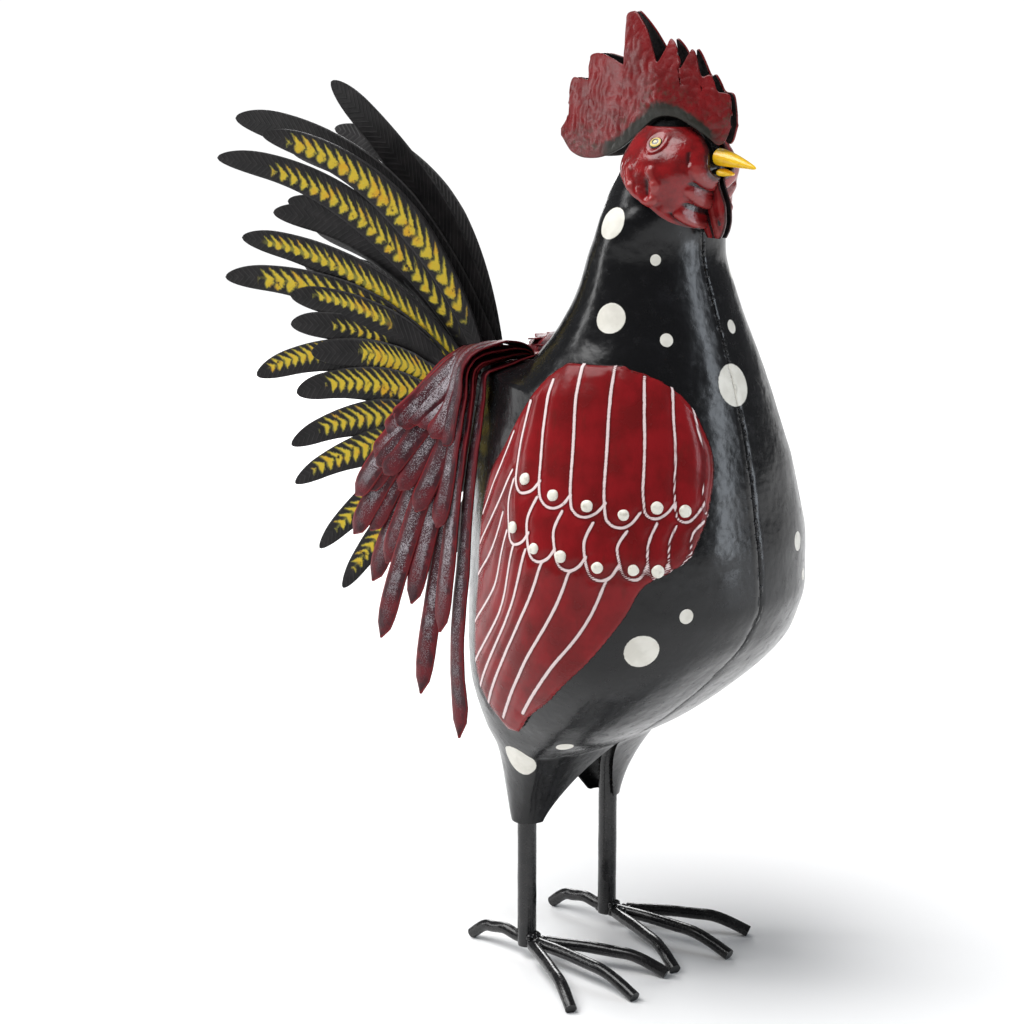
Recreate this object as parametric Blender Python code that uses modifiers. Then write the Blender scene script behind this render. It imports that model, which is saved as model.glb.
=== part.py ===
# A rooster built from painted sheet metal, standing on two feet of bent rod.
# Metres, +Z up, beak towards +X, the bird's own right side towards -Y.
# The origin is on the floor, midway between the breast and the tips of the tail.
import math

import bmesh
import bpy
from mathutils import Vector

# Overall sizes. The figure is drawn in millimetres at its natural size and stretched to these.
HEIGHT = 0.493  # floor to the tip of the tallest comb spike
LENGTH = 0.377  # breast to the tip of the longest tail feather
WIDTH = 0.176  # across both flanks

# Sheet, tube and rod
BODY_WALL = 0.0015  # the flaps of the thighs, where their inner side shows
SHEET = 0.0010  # wings, comb, face and saddle cap
FEATHER_SHEET = 0.0008
LEG_DIAMETER = 0.0100
TOE_DIAMETER = 0.0062
CLEARANCE = 0.0003  # between pieces that touch
FACET_ROOM = 0.0009  # more room where one curved sheet lies on another
WING_PROUD = 0.0014  # how far the wing's rim stands off the flank beyond that

# Feet
TOE_REACH = 0.081  # from the leg's axis to the tip of the middle toe
SIDE_TOE_REACH = 0.078
BACK_TOE_REACH = 0.040
TOE_AXIS_HEIGHT = 0.0100
TOE_SPREAD = math.radians(26)
FOOT_TURN = math.radians(4.5)
TIP_WEAR = 0.0008  # worn off the underside of each toe's tip, so it stands flat
TOE_RISE = 0.0005  # how far a front toe arches up before it falls
BACK_TOE_RISE = 0.0015
TOE_STEPS = 5
KNUCKLE = 0.62  # the share of a toe's length where it starts to fall
ROD_SIDES_LOW = 0.92  # how low the faceted rod reaches, as a share of its radius

# Feathers
TAIL_FEATHER_WIDTH = 0.0200
SICKLE_WIDTH = 0.0240
SADDLE_FEATHER_WIDTH = 0.0105
FEATHER_CAMBER = 0.0004
FEATHER_ROOT = 0.34  # the width of a feather's root, as a share of its full width
FEATHER_FULL = 0.4  # the share of its length where it is full width
FEATHER_ROUND = 0.84  # the share of its length where the tip's rounding starts
FEATHER_BLUNT = 0.22  # the width of the tip's end, as a share of the full width

DRAWN = Vector((377.0, 176.0, 493.0))
KX = LENGTH / DRAWN.x
KY = WIDTH / DRAWN.y
KZ = HEIGHT / DRAWN.z
LEGS_FORWARD = 62.5  # drawn, from the origin to the legs
LEG_OUT = 32.0  # drawn, from the middle plane to each leg
LEG_BEND = 7.0  # drawn, how far the leg's hidden top leans forward
LEG_TOP = 26.0  # drawn, the length of that top

# Body stations, drawn: height, front, back, widest place, half width, and the powers that
# round the back and the front. Lengths run from the legs.
STATIONS = (
    (118, 34, -30, 12, 51, 2.1, 2.3),
    (130, 54, -35, 21, 59, 2.2, 2.6),
    (149, 78.5, -40, 35, 70.5, 2.2, 2.8),
    (170, 101, -46, 50, 80, 2.0, 2.7),
    (190, 118, -53, 57, 86, 1.7, 2.2),
    (210, 126.5, -58, 56, 88, 1.5, 2.05),
    (232, 125, -61, 52, 88, 1.4, 2.15),
    (250, 122.2, -62, 48, 85.5, 1.35, 2.2),
    (270, 119, -63, 44, 81.5, 1.3, 2.2),
    (285, 115.7, -62, 43, 77, 1.3, 2.15),
    (300, 112, -60, 42, 73, 1.3, 2.1),
    (309, 109.3, -56, 42, 71, 1.35, 2.05),
    (313, 108.2, -48, 42.5, 70, 1.45, 2.0),
    (316, 107.2, -20, 43.5, 68.5, 1.6, 2.0),
    (320, 106, -6, 45, 66, 1.75, 2.0),
    (328, 103.3, 3, 49, 60.5, 1.9, 2.0),
    (340, 99, 13, 54, 52.5, 2.0, 2.0),
    (357, 93, 21, 57.5, 45, 2.0, 2.0),
    (375, 87.3, 26.5, 58.5, 39.5, 2.0, 2.0),
    (385, 86.3, 31, 60, 38.5, 2.0, 2.0),
    (395, 87.5, 33.5, 62.5, 36, 2.0, 2.0),
    (405, 90.5, 35, 65, 30.5, 2.0, 2.0),
    (420, 96, 42, 70, 27, 2.0, 2.0),
    (432, 91, 49, 70, 20, 2.0, 2.0),
    (439, 80, 55, 68, 13, 2.0, 2.0),
    (443, 74, 60, 67, 7, 2.0, 2.0),
)
BELLY = STATIONS[0][0]
THIGH_TIP = 76.0  # drawn height
THIGH_ROOM = 1.13  # how far the flap's tip reaches before and behind the leg, over a snug fit
THIGH_BACK = 3.0  # drawn, how much further it reaches behind
THIGH_EDGE = 0.4  # how far in from the leg's axis the flap's edges start, in leg diameters
THIGH_SWELL = (1.2, 1.8, 1.9, 0.9)  # powers of its growth upwards: inwards, outwards, fore and aft
BODY_RINGS = (122, 134, 150, 168, 188, 210, 232, 256, 277, 294, 304, 309, 312, 314, 315.5, 317, 320,
              326, 338, 354, 372, 386, 396, 406, 415, 424, 432, 438, 443)
ARC_STEPS = 8

# Wing plate, drawn: height, rear edge, front edge
WING_EDGES = (
    (138, 20, 26), (143, 16.5, 32), (149, 12, 38), (155, 8, 46), (163, 4.5, 57.5), (170, 3.4, 65.4),
    (190, 2.6, 86), (213, 3, 101), (226, 3.8, 106), (231, 4.2, 110), (236, 4.6, 116),
    (242, 5, 118.5), (255, 6.6, 119), (270, 11.6, 118), (285, 22.2, 115.2), (300, 31.6, 110.2),
    (313, 40.8, 103.5), (322, 46.8, 95), (329, 55, 80),
)
WING_DOME = 2.5  # drawn, how far the middle stands proud of the flank
LEFT_WING_BACK = 6.0  # drawn, how much further back the left wing sits
LEFT_WING_SHARE = 0.64  # its length as a share of the right one's

# Face and wattle, drawn: height, rear edge, front edge
FACE_EDGES = (
    (387, 91, 99), (391, 88, 101), (396, 83, 102), (403, 76, 101.5), (408, 68, 99.5),
    (413, 61, 97.5), (418, 56, 96.5), (425, 53, 95), (433, 55, 90.5), (439, 61, 81),
)
FACE_PROUD = 0.0008  # how far the mask stands off the head
WATTLE_HALF = 1.6  # drawn, half the space between the two wattles

# Comb plate, drawn: the lower edge and the upper edge with its six spikes, back to front
COMB_LOWER = (
    (-2, 431), (4.5, 424), (11.5, 421.5), (18, 421), (27, 422), (36, 425), (43.5, 428.5),
    (53, 435), (65, 443.5), (75, 444.5), (85, 441), (93, 435.5), (98, 432), (101.5, 434.5),
    (104, 441),
)
COMB_UPPER = (
    (-2.5, 434), (2, 441), (1, 452), (2.5, 459), (8, 459.5), (19, 459), (17, 465), (14, 470),
    (18, 472), (24, 472), (32, 470), (42, 467.5), (43.5, 475), (41, 484), (38.5, 491),
    (42, 493), (45, 492), (52, 484.5), (58, 475), (62, 469.5), (65, 475.5), (66.5, 480.5),
    (71, 476.5), (75, 467), (78, 473), (79.5, 476), (82, 473.5), (86.5, 464), (90.5, 464.5),
    (93, 462), (96, 457), (102.5, 455.5), (104, 446.5),
)
COMB_TIPS = (
    (-2, 456), (5, 461), (18, 473.5), (40, 494), (66.5, 482), (79.5, 477.5), (91, 467),
    (103, 457.5),
)
COMB_HALVES = ((-2, 4), (27, 9), (65, 13), (85, 10), (98, 4), (104, 1.5))  # along, half thickness
COMB_SEAM = 0.0008  # half the gap between the plates where the spikes meet
COMB_SPREAD = 0.8  # the power with which the plates part below the spikes
COMB_TUCK = 0.25  # how far their lower rim draws in, as a share of the spread
COMB_TUCK_POWER = 4

# Tail feathers of each side, drawn, top to bottom: tip along, tip height, bend in degrees, the
# layer, counted outwards, and how much the outer half narrows
TAIL_TIPS = (
    (-203, 421, 66, 1, 0.42), (-240, 406, 60, 0, 0.42), (-221, 363, 42, 2, 0.42),
    (-233, 340, 44, 3, 0.42), (-209, 287, 50, 4, 0.42), (-167, 304, 42, 5, 0.42),
    (-176, 281, 44, 6, 0.42), (-178, 252, 42, 7, 0.55), (-171, 232, 36, 9, 0.6),
    (-153, 198, 32, 8, 0.6), (-131, 180, 28, 10, 0.6),
)
TAIL_ROOT_TOP = 309.0
TAIL_ROOT_STEP = 5.2
TAIL_ROOT_OUT = 5.0  # drawn, from the middle plane to the innermost feather
TAIL_FLARE = 0.11  # how fast a fan leaves the middle plane
TAIL_HINGE = (-52.0, 318.0)  # drawn, along and up, where the flare starts
TAIL_ROOM = 1.15  # from one layer of a fan to the next, in sheets, besides camber and clearance
SICKLE_ROOT = 313.0
SICKLES = (("tall", -181, 449, 31, 4.0), ("long", -251, 426, 56, -4.0))
SICKLE_TAPER = 0.4

# Saddle feathers hang over the flank from roots along the back. Drawn tips, rear to front.
SADDLE_TIPS = (
    (-86, 52, 262), (-95, 54, 240), (-99, 56, 219), (-88, 57, 195), (-74, 58, 168),
    (-48, 58, 142), (-24, 57, 122),
)
SADDLE_ROOT_REAR = -45.0
SADDLE_ROOT_FRONT = -14.0
SADDLE_ROOT_OUT = 13.0
SADDLE_SHOULDER = 54.0  # drawn, how far out the feathers are led before they fall
SADDLE_FALL = 8.0  # drawn, how far they have come down there
SADDLE_LEAD = 0.16  # how far along the way to the tip that is
SADDLE_LIFT = 0.0040  # how far the innermost feathers stand off the back
SADDLE_PITCH = 3.3  # sheets from one layer to the next, so that twisted feathers pass
SADDLE_PACKED = 10.5  # drawn, the feather width that this suits; wider feathers twist more
SADDLE_STEPS = 9

# Beak, drawn
BEAK_FRONT = 118.0
BEAK_MOUTH = 421.0  # height of the line between the two mandibles
BEAK_SIDES = 12
BEAK_CURVE = 1.4  # the power with which each horn narrows and falls
BEAK_HORNS = (  # name, way from the mouth, half width, half depth, reach, drop, tip size and rings
    ("beak_upper", 1, 5.5, 4.4, 1.0, -4.0, 0.18, 7),
    ("beak_lower", -1, 4.2, 2.0, 0.36, -0.6, 0.35, 4),
)

RIGHT = -1
LEFT = 1


def clear_scene():
    for old in list(bpy.data.objects):
        bpy.data.objects.remove(old, do_unlink=True)


def paint(name, color, roughness, metallic=0.0):
    material = bpy.data.materials.new(name)
    material.use_nodes = True
    shader = material.node_tree.nodes["Principled BSDF"]
    shader.inputs["Base Color"].default_value = (*color, 1.0)
    shader.inputs["Roughness"].default_value = roughness
    shader.inputs["Metallic"].default_value = metallic
    return material


def add_object(name, mesh, material, parts):
    thing = bpy.data.objects.new(name, mesh)
    mesh.materials.append(material)
    parts.objects.link(thing)
    return thing


def placed(along, out, up):
    """A drawn point, measured from the legs, as a point of the model in metres."""
    return Vector(((along + LEGS_FORWARD) * KX, out * KY, up * KZ))


def table(rows, at, column):
    """Reads a column of a table by smooth interpolation over its first column."""
    last = len(rows) - 1
    if at <= rows[0][0]:
        return rows[0][column]
    if at >= rows[last][0]:
        return rows[last][column]
    i = 0
    while rows[i + 1][0] < at:
        i += 1

    def slope(k):
        if k <= 0 or k >= last:
            return None
        before = (rows[k][column] - rows[k - 1][column]) / (rows[k][0] - rows[k - 1][0])
        after = (rows[k + 1][column] - rows[k][column]) / (rows[k + 1][0] - rows[k][0])
        if before * after <= 0:
            return 0.0
        return 2 * before * after / (before + after)

    span = rows[i + 1][0] - rows[i][0]
    rise = rows[i + 1][column] - rows[i][column]
    start = slope(i)
    end = slope(i + 1)
    start = rise / span if start is None else start
    end = rise / span if end is None else end
    t = (at - rows[i][0]) / span
    bend = t * (1 - t)
    hermite = rows[i][column] + rise * t * t * (3 - 2 * t)
    return hermite + bend * span * (start * (1 - t) - end * t)


def along_curve(points, share):
    """A point at a share of the way through a list of points, by straight runs."""
    place = share * (len(points) - 1)
    i = min(int(place), len(points) - 2)
    t = place - i
    return [a + (b - a) * t for a, b in zip(points[i], points[i + 1])]


def section(up):
    """Front, back, widest place and half width in metres, and both powers, at a drawn height."""
    front, back, widest, half, rear_power, fore_power = (table(STATIONS, up, k) for k in range(1, 7))
    return front * KX, back * KX, widest * KX, half * KY, rear_power, fore_power


def half_width(along, up, grow):
    """Half the body's width in metres, grown outwards, at a place in metres from the legs."""
    front, back, widest, half, rear_power, fore_power = section(up / KZ)
    if along >= widest:
        share = (along - widest) / (front - widest + grow)
        power = fore_power
    else:
        share = (widest - along) / (widest - back + grow)
        power = rear_power
    if share >= 1:
        return 0.0
    return (half + grow) * (1 - share**power) ** (1 / power)


def back_along(out, up, grow):
    """How far back the body reaches, in metres from the legs, at a distance from the middle."""
    front, back, widest, half, power, fore_power = section(up / KZ)
    share = min(out / half, 0.95)
    return widest - (widest - back) * (1 - share**power) ** (1 / power) - grow


def top_height(along, out, grow):
    """The height of the back's surface over a place in metres, found by halving."""
    low = 270.0 * KZ
    high = 345.0 * KZ
    for _ in range(30):
        middle = (low + high) / 2
        if half_width(along, middle, grow) > out:
            low = middle
        else:
            high = middle
    return (low + high) / 2


def loft(name, rings, material, parts, smooth_angle=35):
    """A closed solid through rings of equal counts, with flat ends."""
    shape = bmesh.new()
    rows = [[shape.verts.new(point) for point in ring] for ring in rings]
    for lower, upper in zip(rows, rows[1:]):
        for i in range(len(lower)):
            j = (i + 1) % len(lower)
            shape.faces.new((lower[i], lower[j], upper[j], upper[i]))
    shape.faces.new(rows[0])
    shape.faces.new(list(reversed(rows[-1])))
    bmesh.ops.recalc_face_normals(shape, faces=shape.faces)
    mesh = bpy.data.meshes.new(name)
    shape.to_mesh(mesh)
    shape.free()
    mesh.shade_smooth()
    mesh.set_sharp_from_angle(angle=math.radians(smooth_angle))
    return add_object(name, mesh, material, parts)


def plate(name, place, across, along, thickness, outward, material, parts):
    """A sheet: a grid whose points are given by place(u, v), thickened away from the body."""
    shape = bmesh.new()
    bmesh.ops.create_grid(shape, x_segments=across, y_segments=along, size=0.5)
    for corner in shape.verts:
        corner.co = place(corner.co.x + 0.5, corner.co.y + 0.5)
    bmesh.ops.recalc_face_normals(shape, faces=shape.faces)
    middle = min(shape.faces, key=lambda face: (face.calc_center_median() - place(0.5, 0.5)).length)
    if middle.normal.dot(outward) < 0:
        bmesh.ops.reverse_faces(shape, faces=shape.faces)
    mesh = bpy.data.meshes.new(name)
    shape.to_mesh(mesh)
    shape.free()
    mesh.shade_smooth()
    thing = add_object(name, mesh, material, parts)
    wall = thing.modifiers.new("wall", "SOLIDIFY")
    wall.thickness = thickness
    wall.offset = 1.0
    return thing


def tube(name, points, diameter, material, parts, sides=3):
    """A rod or tube of a diameter through a list of points, with filled ends."""
    path = bpy.data.curves.new(name, "CURVE")
    path.dimensions = "3D"
    path.bevel_depth = diameter / 2
    path.bevel_resolution = sides
    path.use_fill_caps = True
    path.resolution_u = 4
    line = path.splines.new("POLY")
    line.points.add(len(points) - 1)
    for spot, point in zip(line.points, points):
        spot.co = (*point, 1.0)
    path.materials.append(material)
    thing = bpy.data.objects.new(name, path)
    parts.objects.link(thing)
    return thing


def body_ring(up, side):
    """One level of a body half: round the flank from back to front, then home along the seam."""
    front, back, widest, half, rear_power, fore_power = section(up)
    seam = CLEARANCE / 2
    outer = []
    for i in range(2 * ARC_STEPS + 1):
        turn = math.pi * i / (2 * ARC_STEPS)
        cos = math.cos(turn)
        reach = widest - back if cos > 0 else front - widest
        bend = rear_power if cos > 0 else fore_power
        x = widest - math.copysign(abs(cos) ** (2 / bend), cos) * reach
        y = seam + (half - seam) * math.sin(turn) ** (2 / bend)
        outer.append((x, y))
    inner = []
    for i in range(1, 2 * ARC_STEPS):
        x = front + (back - front) * i / (2 * ARC_STEPS)
        inner.append((x, seam))
    return level(outer + inner, up * KZ, side)


def thigh_ring(up, side):
    """One level of a thigh: a flap curved round the outer side of the leg."""
    share = (up - THIGH_TIP) / (BELLY - THIGH_TIP)
    front, back, widest, half, rear_power, fore_power = section(BELLY)
    leg = LEG_OUT * KY
    snug = LEG_DIAMETER / 2 + CLEARANCE + BODY_WALL
    inwards, outwards, forwards, backwards = (share**power for power in THIGH_SWELL)
    near = leg - THIGH_EDGE * LEG_DIAMETER
    near = near + (CLEARANCE / 2 - near) * inwards
    far = leg + snug
    far = far + (half - far) * outwards
    tip = THIGH_ROOM * snug
    fore = tip + (front - widest - tip) * forwards
    aft = tip + THIGH_BACK * KX * (1 - share)
    aft += (widest - back - tip) * backwards
    middle = widest * share
    points = []
    for inset in (0.0, BODY_WALL):
        arc = []
        for i in range(2 * ARC_STEPS + 1):
            turn = math.pi * i / (2 * ARC_STEPS)
            reach = (aft if math.cos(turn) > 0 else fore) - inset
            bend = rear_power if math.cos(turn) > 0 else 2 + (fore_power - 2) * share
            x = middle - math.copysign(abs(math.cos(turn)) ** (2 / bend), math.cos(turn)) * reach
            y = near + (far - near - inset) * math.sin(turn) ** (2 / bend)
            arc.append((x, y))
        points.append(arc)
    return level(points[0] + list(reversed(points[1]))[1:-1], up * KZ, side)


def level(points, height, side):
    return [Vector((x + LEGS_FORWARD * KX, side * y, height)) for x, y in points]


def add_body(side, label, material, parts):
    thigh_levels = [THIGH_TIP + (BELLY - THIGH_TIP) * i / 4 for i in range(5)]
    rings = [thigh_ring(up, side) for up in thigh_levels]
    rings += [body_ring(up, side) for up in BODY_RINGS]
    loft(f"body_{label}", rings, material, parts)


def over_body(rows, proud, dome, shut, side):
    """Where a sheet on the flank lies: between the edges in rows, proud of the body."""

    def place(u, v):
        up = rows[0][0] + (rows[-1][0] - rows[0][0]) * v
        rear = table(rows, up, 1)
        fore = table(rows, up, 2)
        along = (rear + (fore - rear) * u) * KX
        lift = CLEARANCE + FACET_ROOM + proud
        lift += dome * KY * 4 * u * (1 - u) * math.sin(math.pi * v)
        out = max(half_width(along, up * KZ, lift), shut)
        return Vector((along + LEGS_FORWARD * KX, side * out, up * KZ))

    return place


def wing_edges(side):
    if side == RIGHT:
        return WING_EDGES
    return [(up, rear - LEFT_WING_BACK, rear - LEFT_WING_BACK + (front - rear) * LEFT_WING_SHARE)
            for up, rear, front in WING_EDGES]


def add_wing(side, label, material, parts):
    place = over_body(wing_edges(side), WING_PROUD, WING_DOME, 0.0, side)
    plate(f"wing_{label}", place, 9, 10, SHEET, Vector((0, side, 0)), material, parts)


def add_face(side, label, material, parts):
    place = over_body(FACE_EDGES, FACE_PROUD, 0.0, WATTLE_HALF * KY, side)
    plate(f"face_{label}", place, 10, 8, SHEET, Vector((0, side, 0)), material, parts)


def add_comb(side, label, material, parts):
    steps = len(COMB_UPPER) - 1

    def place(u, v):
        foot = along_curve(COMB_LOWER, u)
        crest = along_curve(COMB_UPPER, u)
        along = foot[0] + (crest[0] - foot[0]) * v
        up = foot[1] + (crest[1] - foot[1]) * v
        tip = table(COMB_TIPS, along, 1)
        depth = max(tip - up, 0.0) / (tip - foot[1])
        rim = 1 - COMB_TUCK * (1 - v) ** COMB_TUCK_POWER
        half = table(COMB_HALVES, along, 1) * KY
        out = COMB_SEAM + half * depth**COMB_SPREAD * rim
        return placed(along, 0, up) + Vector((0, side * out, 0))

    plate(f"comb_{label}", place, steps, 3, SHEET, Vector((0, side, 0)), material, parts)


def add_beak(material, parts):
    """Two horns that start in front of the skull: a hooked upper one, a short lower one."""
    for name, way, wide, deep, reach, drop, tip, count in BEAK_HORNS:
        up = BEAK_MOUTH * KZ + way * (deep * KZ + CLEARANCE)
        start = section(up / KZ)[0] + CLEARANCE + FACET_ROOM
        length = (BEAK_FRONT * KX - start) * reach
        rings = []
        for k in range(count + 1):
            t = k / count
            size = 1 - (1 - tip) * t**BEAK_CURVE
            fall = drop * KZ * t**BEAK_CURVE
            centre = Vector((LEGS_FORWARD * KX + start + length * t, 0, up + fall))
            ring = []
            for i in range(BEAK_SIDES):
                turn = 2 * math.pi * i / BEAK_SIDES
                spread = Vector((0, wide * KY * math.cos(turn), deep * KZ * math.sin(turn)))
                ring.append(centre + spread * size)
            rings.append(ring)
        loft(name, rings, material, parts)


def add_leg(side, label, material, parts):
    low = TOE_AXIS_HEIGHT - TOE_DIAMETER / 2
    high = BELLY * KZ - CLEARANCE
    straight = high - LEG_TOP * KZ
    points = [Vector((0, 0, low)), Vector((0, 0, straight))]
    for k in range(1, 5):
        t = k / 4
        lean = LEG_BEND * KX * t * t * (3 - 2 * t)
        points.append(Vector((lean, 0, straight + (high - straight) * t)))
    base = Vector((LEGS_FORWARD * KX, side * LEG_OUT * KY, 0))
    tube(f"leg_{label}", [base + point for point in points], LEG_DIAMETER, material, parts, 4)


def add_toe(name, base, turn, start, reach, rise, material, parts):
    """A rod that runs out from the leg and bends down to the floor, worn flat where it stands."""
    radius = TOE_DIAMETER / 2
    away = Vector((math.cos(turn), math.sin(turn), 0))
    knuckle = start + (reach - start) * KNUCKLE
    tip_height = radius * ROD_SIDES_LOW - TIP_WEAR
    points = []
    for k in range(TOE_STEPS + 1):
        t = k / TOE_STEPS
        out = start + (reach - start) * t
        hump = rise * math.sin(math.pi * min(t / KNUCKLE, 1.0)) ** 2
        fall = max(out - knuckle, 0.0) / (reach - knuckle)
        fall = fall * fall * (1.6 - 0.6 * fall)
        height = TOE_AXIS_HEIGHT + hump + (tip_height - TOE_AXIS_HEIGHT) * fall
        points.append(base + away * out + Vector((0, 0, height)))
    rod = tube(name, points, TOE_DIAMETER, material, parts, 2)
    bpy.context.view_layer.update()
    evaluated = rod.evaluated_get(bpy.context.evaluated_depsgraph_get())
    mesh = bpy.data.meshes.new_from_object(evaluated)
    bpy.data.objects.remove(rod)
    shape = bmesh.new()
    shape.from_mesh(mesh)
    bmesh.ops.remove_doubles(shape, verts=shape.verts, dist=0.00001)
    whole = shape.verts[:] + shape.edges[:] + shape.faces[:]
    cut = bmesh.ops.bisect_plane(shape, geom=whole, plane_co=(0, 0, 0), plane_no=(0, 0, -1),
                                 clear_outer=True)
    rim = [piece for piece in cut["geom_cut"] if isinstance(piece, bmesh.types.BMEdge)]
    bmesh.ops.contextual_create(shape, geom=rim)
    bmesh.ops.recalc_face_normals(shape, faces=shape.faces)
    shape.to_mesh(mesh)
    shape.free()
    mesh.name = name
    mesh.shade_smooth()
    mesh.set_sharp_from_angle(angle=math.radians(40))
    thing = bpy.data.objects.new(name, mesh)
    parts.objects.link(thing)


def add_foot(side, label, material, parts):
    base = Vector((LEGS_FORWARD * KX, side * LEG_OUT * KY, 0))
    at_leg = LEG_DIAMETER / 2 + 2 * CLEARANCE
    beside = (TOE_DIAMETER / 2 * (1 + math.cos(TOE_SPREAD)) + CLEARANCE) / math.sin(TOE_SPREAD)
    beside = max(beside, at_leg)
    straight = side * FOOT_TURN
    for name, turn, start, reach in (
        ("middle", straight, at_leg, TOE_REACH),
        ("inner", straight - side * TOE_SPREAD, beside, SIDE_TOE_REACH),
        ("outer", straight + side * TOE_SPREAD, beside, SIDE_TOE_REACH),
    ):
        add_toe(f"toe_{label}_{name}", base, turn, start, reach, TOE_RISE, material, parts)
    add_toe(f"toe_{label}_back", base, math.pi, at_leg, BACK_TOE_REACH, BACK_TOE_RISE, material,
            parts)


def feather_half(share, width, taper=0.0):
    """Half a feather's width at a share of its length: a narrow root and a rounded tip."""
    root = FEATHER_ROOT + (1 - FEATHER_ROOT) * min(share / FEATHER_FULL, 1.0) ** 0.8
    narrowing = 1 - taper * max(2 * share - 1, 0)
    tip = 1.0
    if share > FEATHER_ROUND:
        past = min((share - FEATHER_ROUND) / (1 - FEATHER_ROUND), 1.0)
        tip = max(math.sqrt(1 - past * past), FEATHER_BLUNT)
    return width / 2 * root * narrowing * tip


def arc_place(root, tip, bend, width, taper, out_at, camber, side):
    """Points of a feather that bends in the bird's side view, on a surface out_at(x, z, share)."""
    chord = tip - root
    up = Vector((chord.y, -chord.x)).normalized()
    if up.y < 0:
        up = -up
    lead = root + chord / 2 + up * chord.length / 2 * math.tan(bend / 2)

    def place(u, w):
        v = math.sin(math.pi / 2 * w) * 0.45 + w * 0.55
        line = root * (1 - v) ** 2 + lead * 2 * v * (1 - v) + tip * v * v
        run = (lead - root) * (1 - v) + (tip - lead) * v
        across = Vector((run.y, -run.x)).normalized()
        half = feather_half(v, width, taper)
        spot = line + across * half * (2 * u - 1)
        crown = camber * min(v / 0.3, 1.0) * (1 - (2 * u - 1) ** 2) * half / (width / 2)
        return Vector((spot.x, side * (out_at(spot.x, spot.y, v) + crown), spot.y))

    return place


def tail_root(out, up, tip, bend, width):
    """Where a feather leaves the back: its narrow end stands square to its first direction."""
    root = Vector((back_along(out, up, CLEARANCE) + LEGS_FORWARD * KX, up))
    chord = (tip - root).normalized()
    first = math.atan2(chord.y, chord.x) - bend / 2
    root.x -= feather_half(0.0, width) * abs(math.sin(first)) + 2 * CLEARANCE
    return root


def add_tail_fan(side, label, material, parts):
    """One side's fan. Every feather lies on a surface of its own, a sheet and a gap from the next."""
    pitch = TAIL_ROOM * FEATHER_SHEET + CLEARANCE + FEATHER_CAMBER
    hinge = placed(TAIL_HINGE[0], 0, TAIL_HINGE[1])
    for i, (tip_along, tip_up, bend, layer, taper) in enumerate(TAIL_TIPS):
        base_out = TAIL_ROOT_OUT * KY + layer * pitch

        def out_at(x, z, share, base_out=base_out):
            return base_out + TAIL_FLARE * math.hypot(x - hinge.x, z - hinge.z)

        tip = placed(tip_along, 0, tip_up)
        tip = Vector((tip.x, tip.z))
        turn = math.radians(bend)
        root_up = (TAIL_ROOT_TOP - TAIL_ROOT_STEP * i) * KZ
        root = tail_root(base_out + pitch, root_up, tip, turn, TAIL_FEATHER_WIDTH)
        place = arc_place(root, tip, turn, TAIL_FEATHER_WIDTH, taper, out_at, FEATHER_CAMBER, side)
        plate(f"tail_{label}_{i + 1:02d}", place, 2, 7, FEATHER_SHEET, Vector((0, side, 0)),
              material, parts)


def add_sickles(material, parts):
    """The two long middle feathers, side by side between the fans."""
    for name, tip_along, tip_up, bend, out in SICKLES:
        side = RIGHT if out < 0 else LEFT

        def out_at(x, z, share, out=abs(out) * KY):
            return out * (0.35 + 0.65 * share)

        tip = placed(tip_along, 0, tip_up)
        tip = Vector((tip.x, tip.z))
        root = tail_root(0.002, SICKLE_ROOT * KZ, tip, math.radians(bend), SICKLE_WIDTH)
        place = arc_place(root, tip, math.radians(bend), SICKLE_WIDTH, SICKLE_TAPER, out_at, 0.0, side)
        plate(f"sickle_{name}", place, 2, 8, FEATHER_SHEET, Vector((0, side, 0)), material, parts)


def saddle_line(a, s):
    """The surface that the saddle feathers lie on: direction a, rear to front, and share s."""
    along = (SADDLE_ROOT_REAR + (SADDLE_ROOT_FRONT - SADDLE_ROOT_REAR) * a) * KX
    lift = CLEARANCE + SADDLE_LIFT
    out = SADDLE_ROOT_OUT * KY
    start = Vector((along, out, top_height(along, out, lift)))
    tip = along_curve(SADDLE_TIPS, a)
    end = Vector((tip[0] * KX, tip[1] * KY, tip[2] * KZ))
    lead = start + (end - start) * SADDLE_LEAD
    lead.y = SADDLE_SHOULDER * KY
    lead.z = start.z - SADDLE_FALL * KZ
    point = start * (1 - s) ** 2 + lead * 2 * s * (1 - s) + end * s * s
    flank = half_width(point.x, point.z, lift)
    point.y = (abs(point.y) ** 12 + flank**12) ** (1 / 12)
    return point


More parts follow.
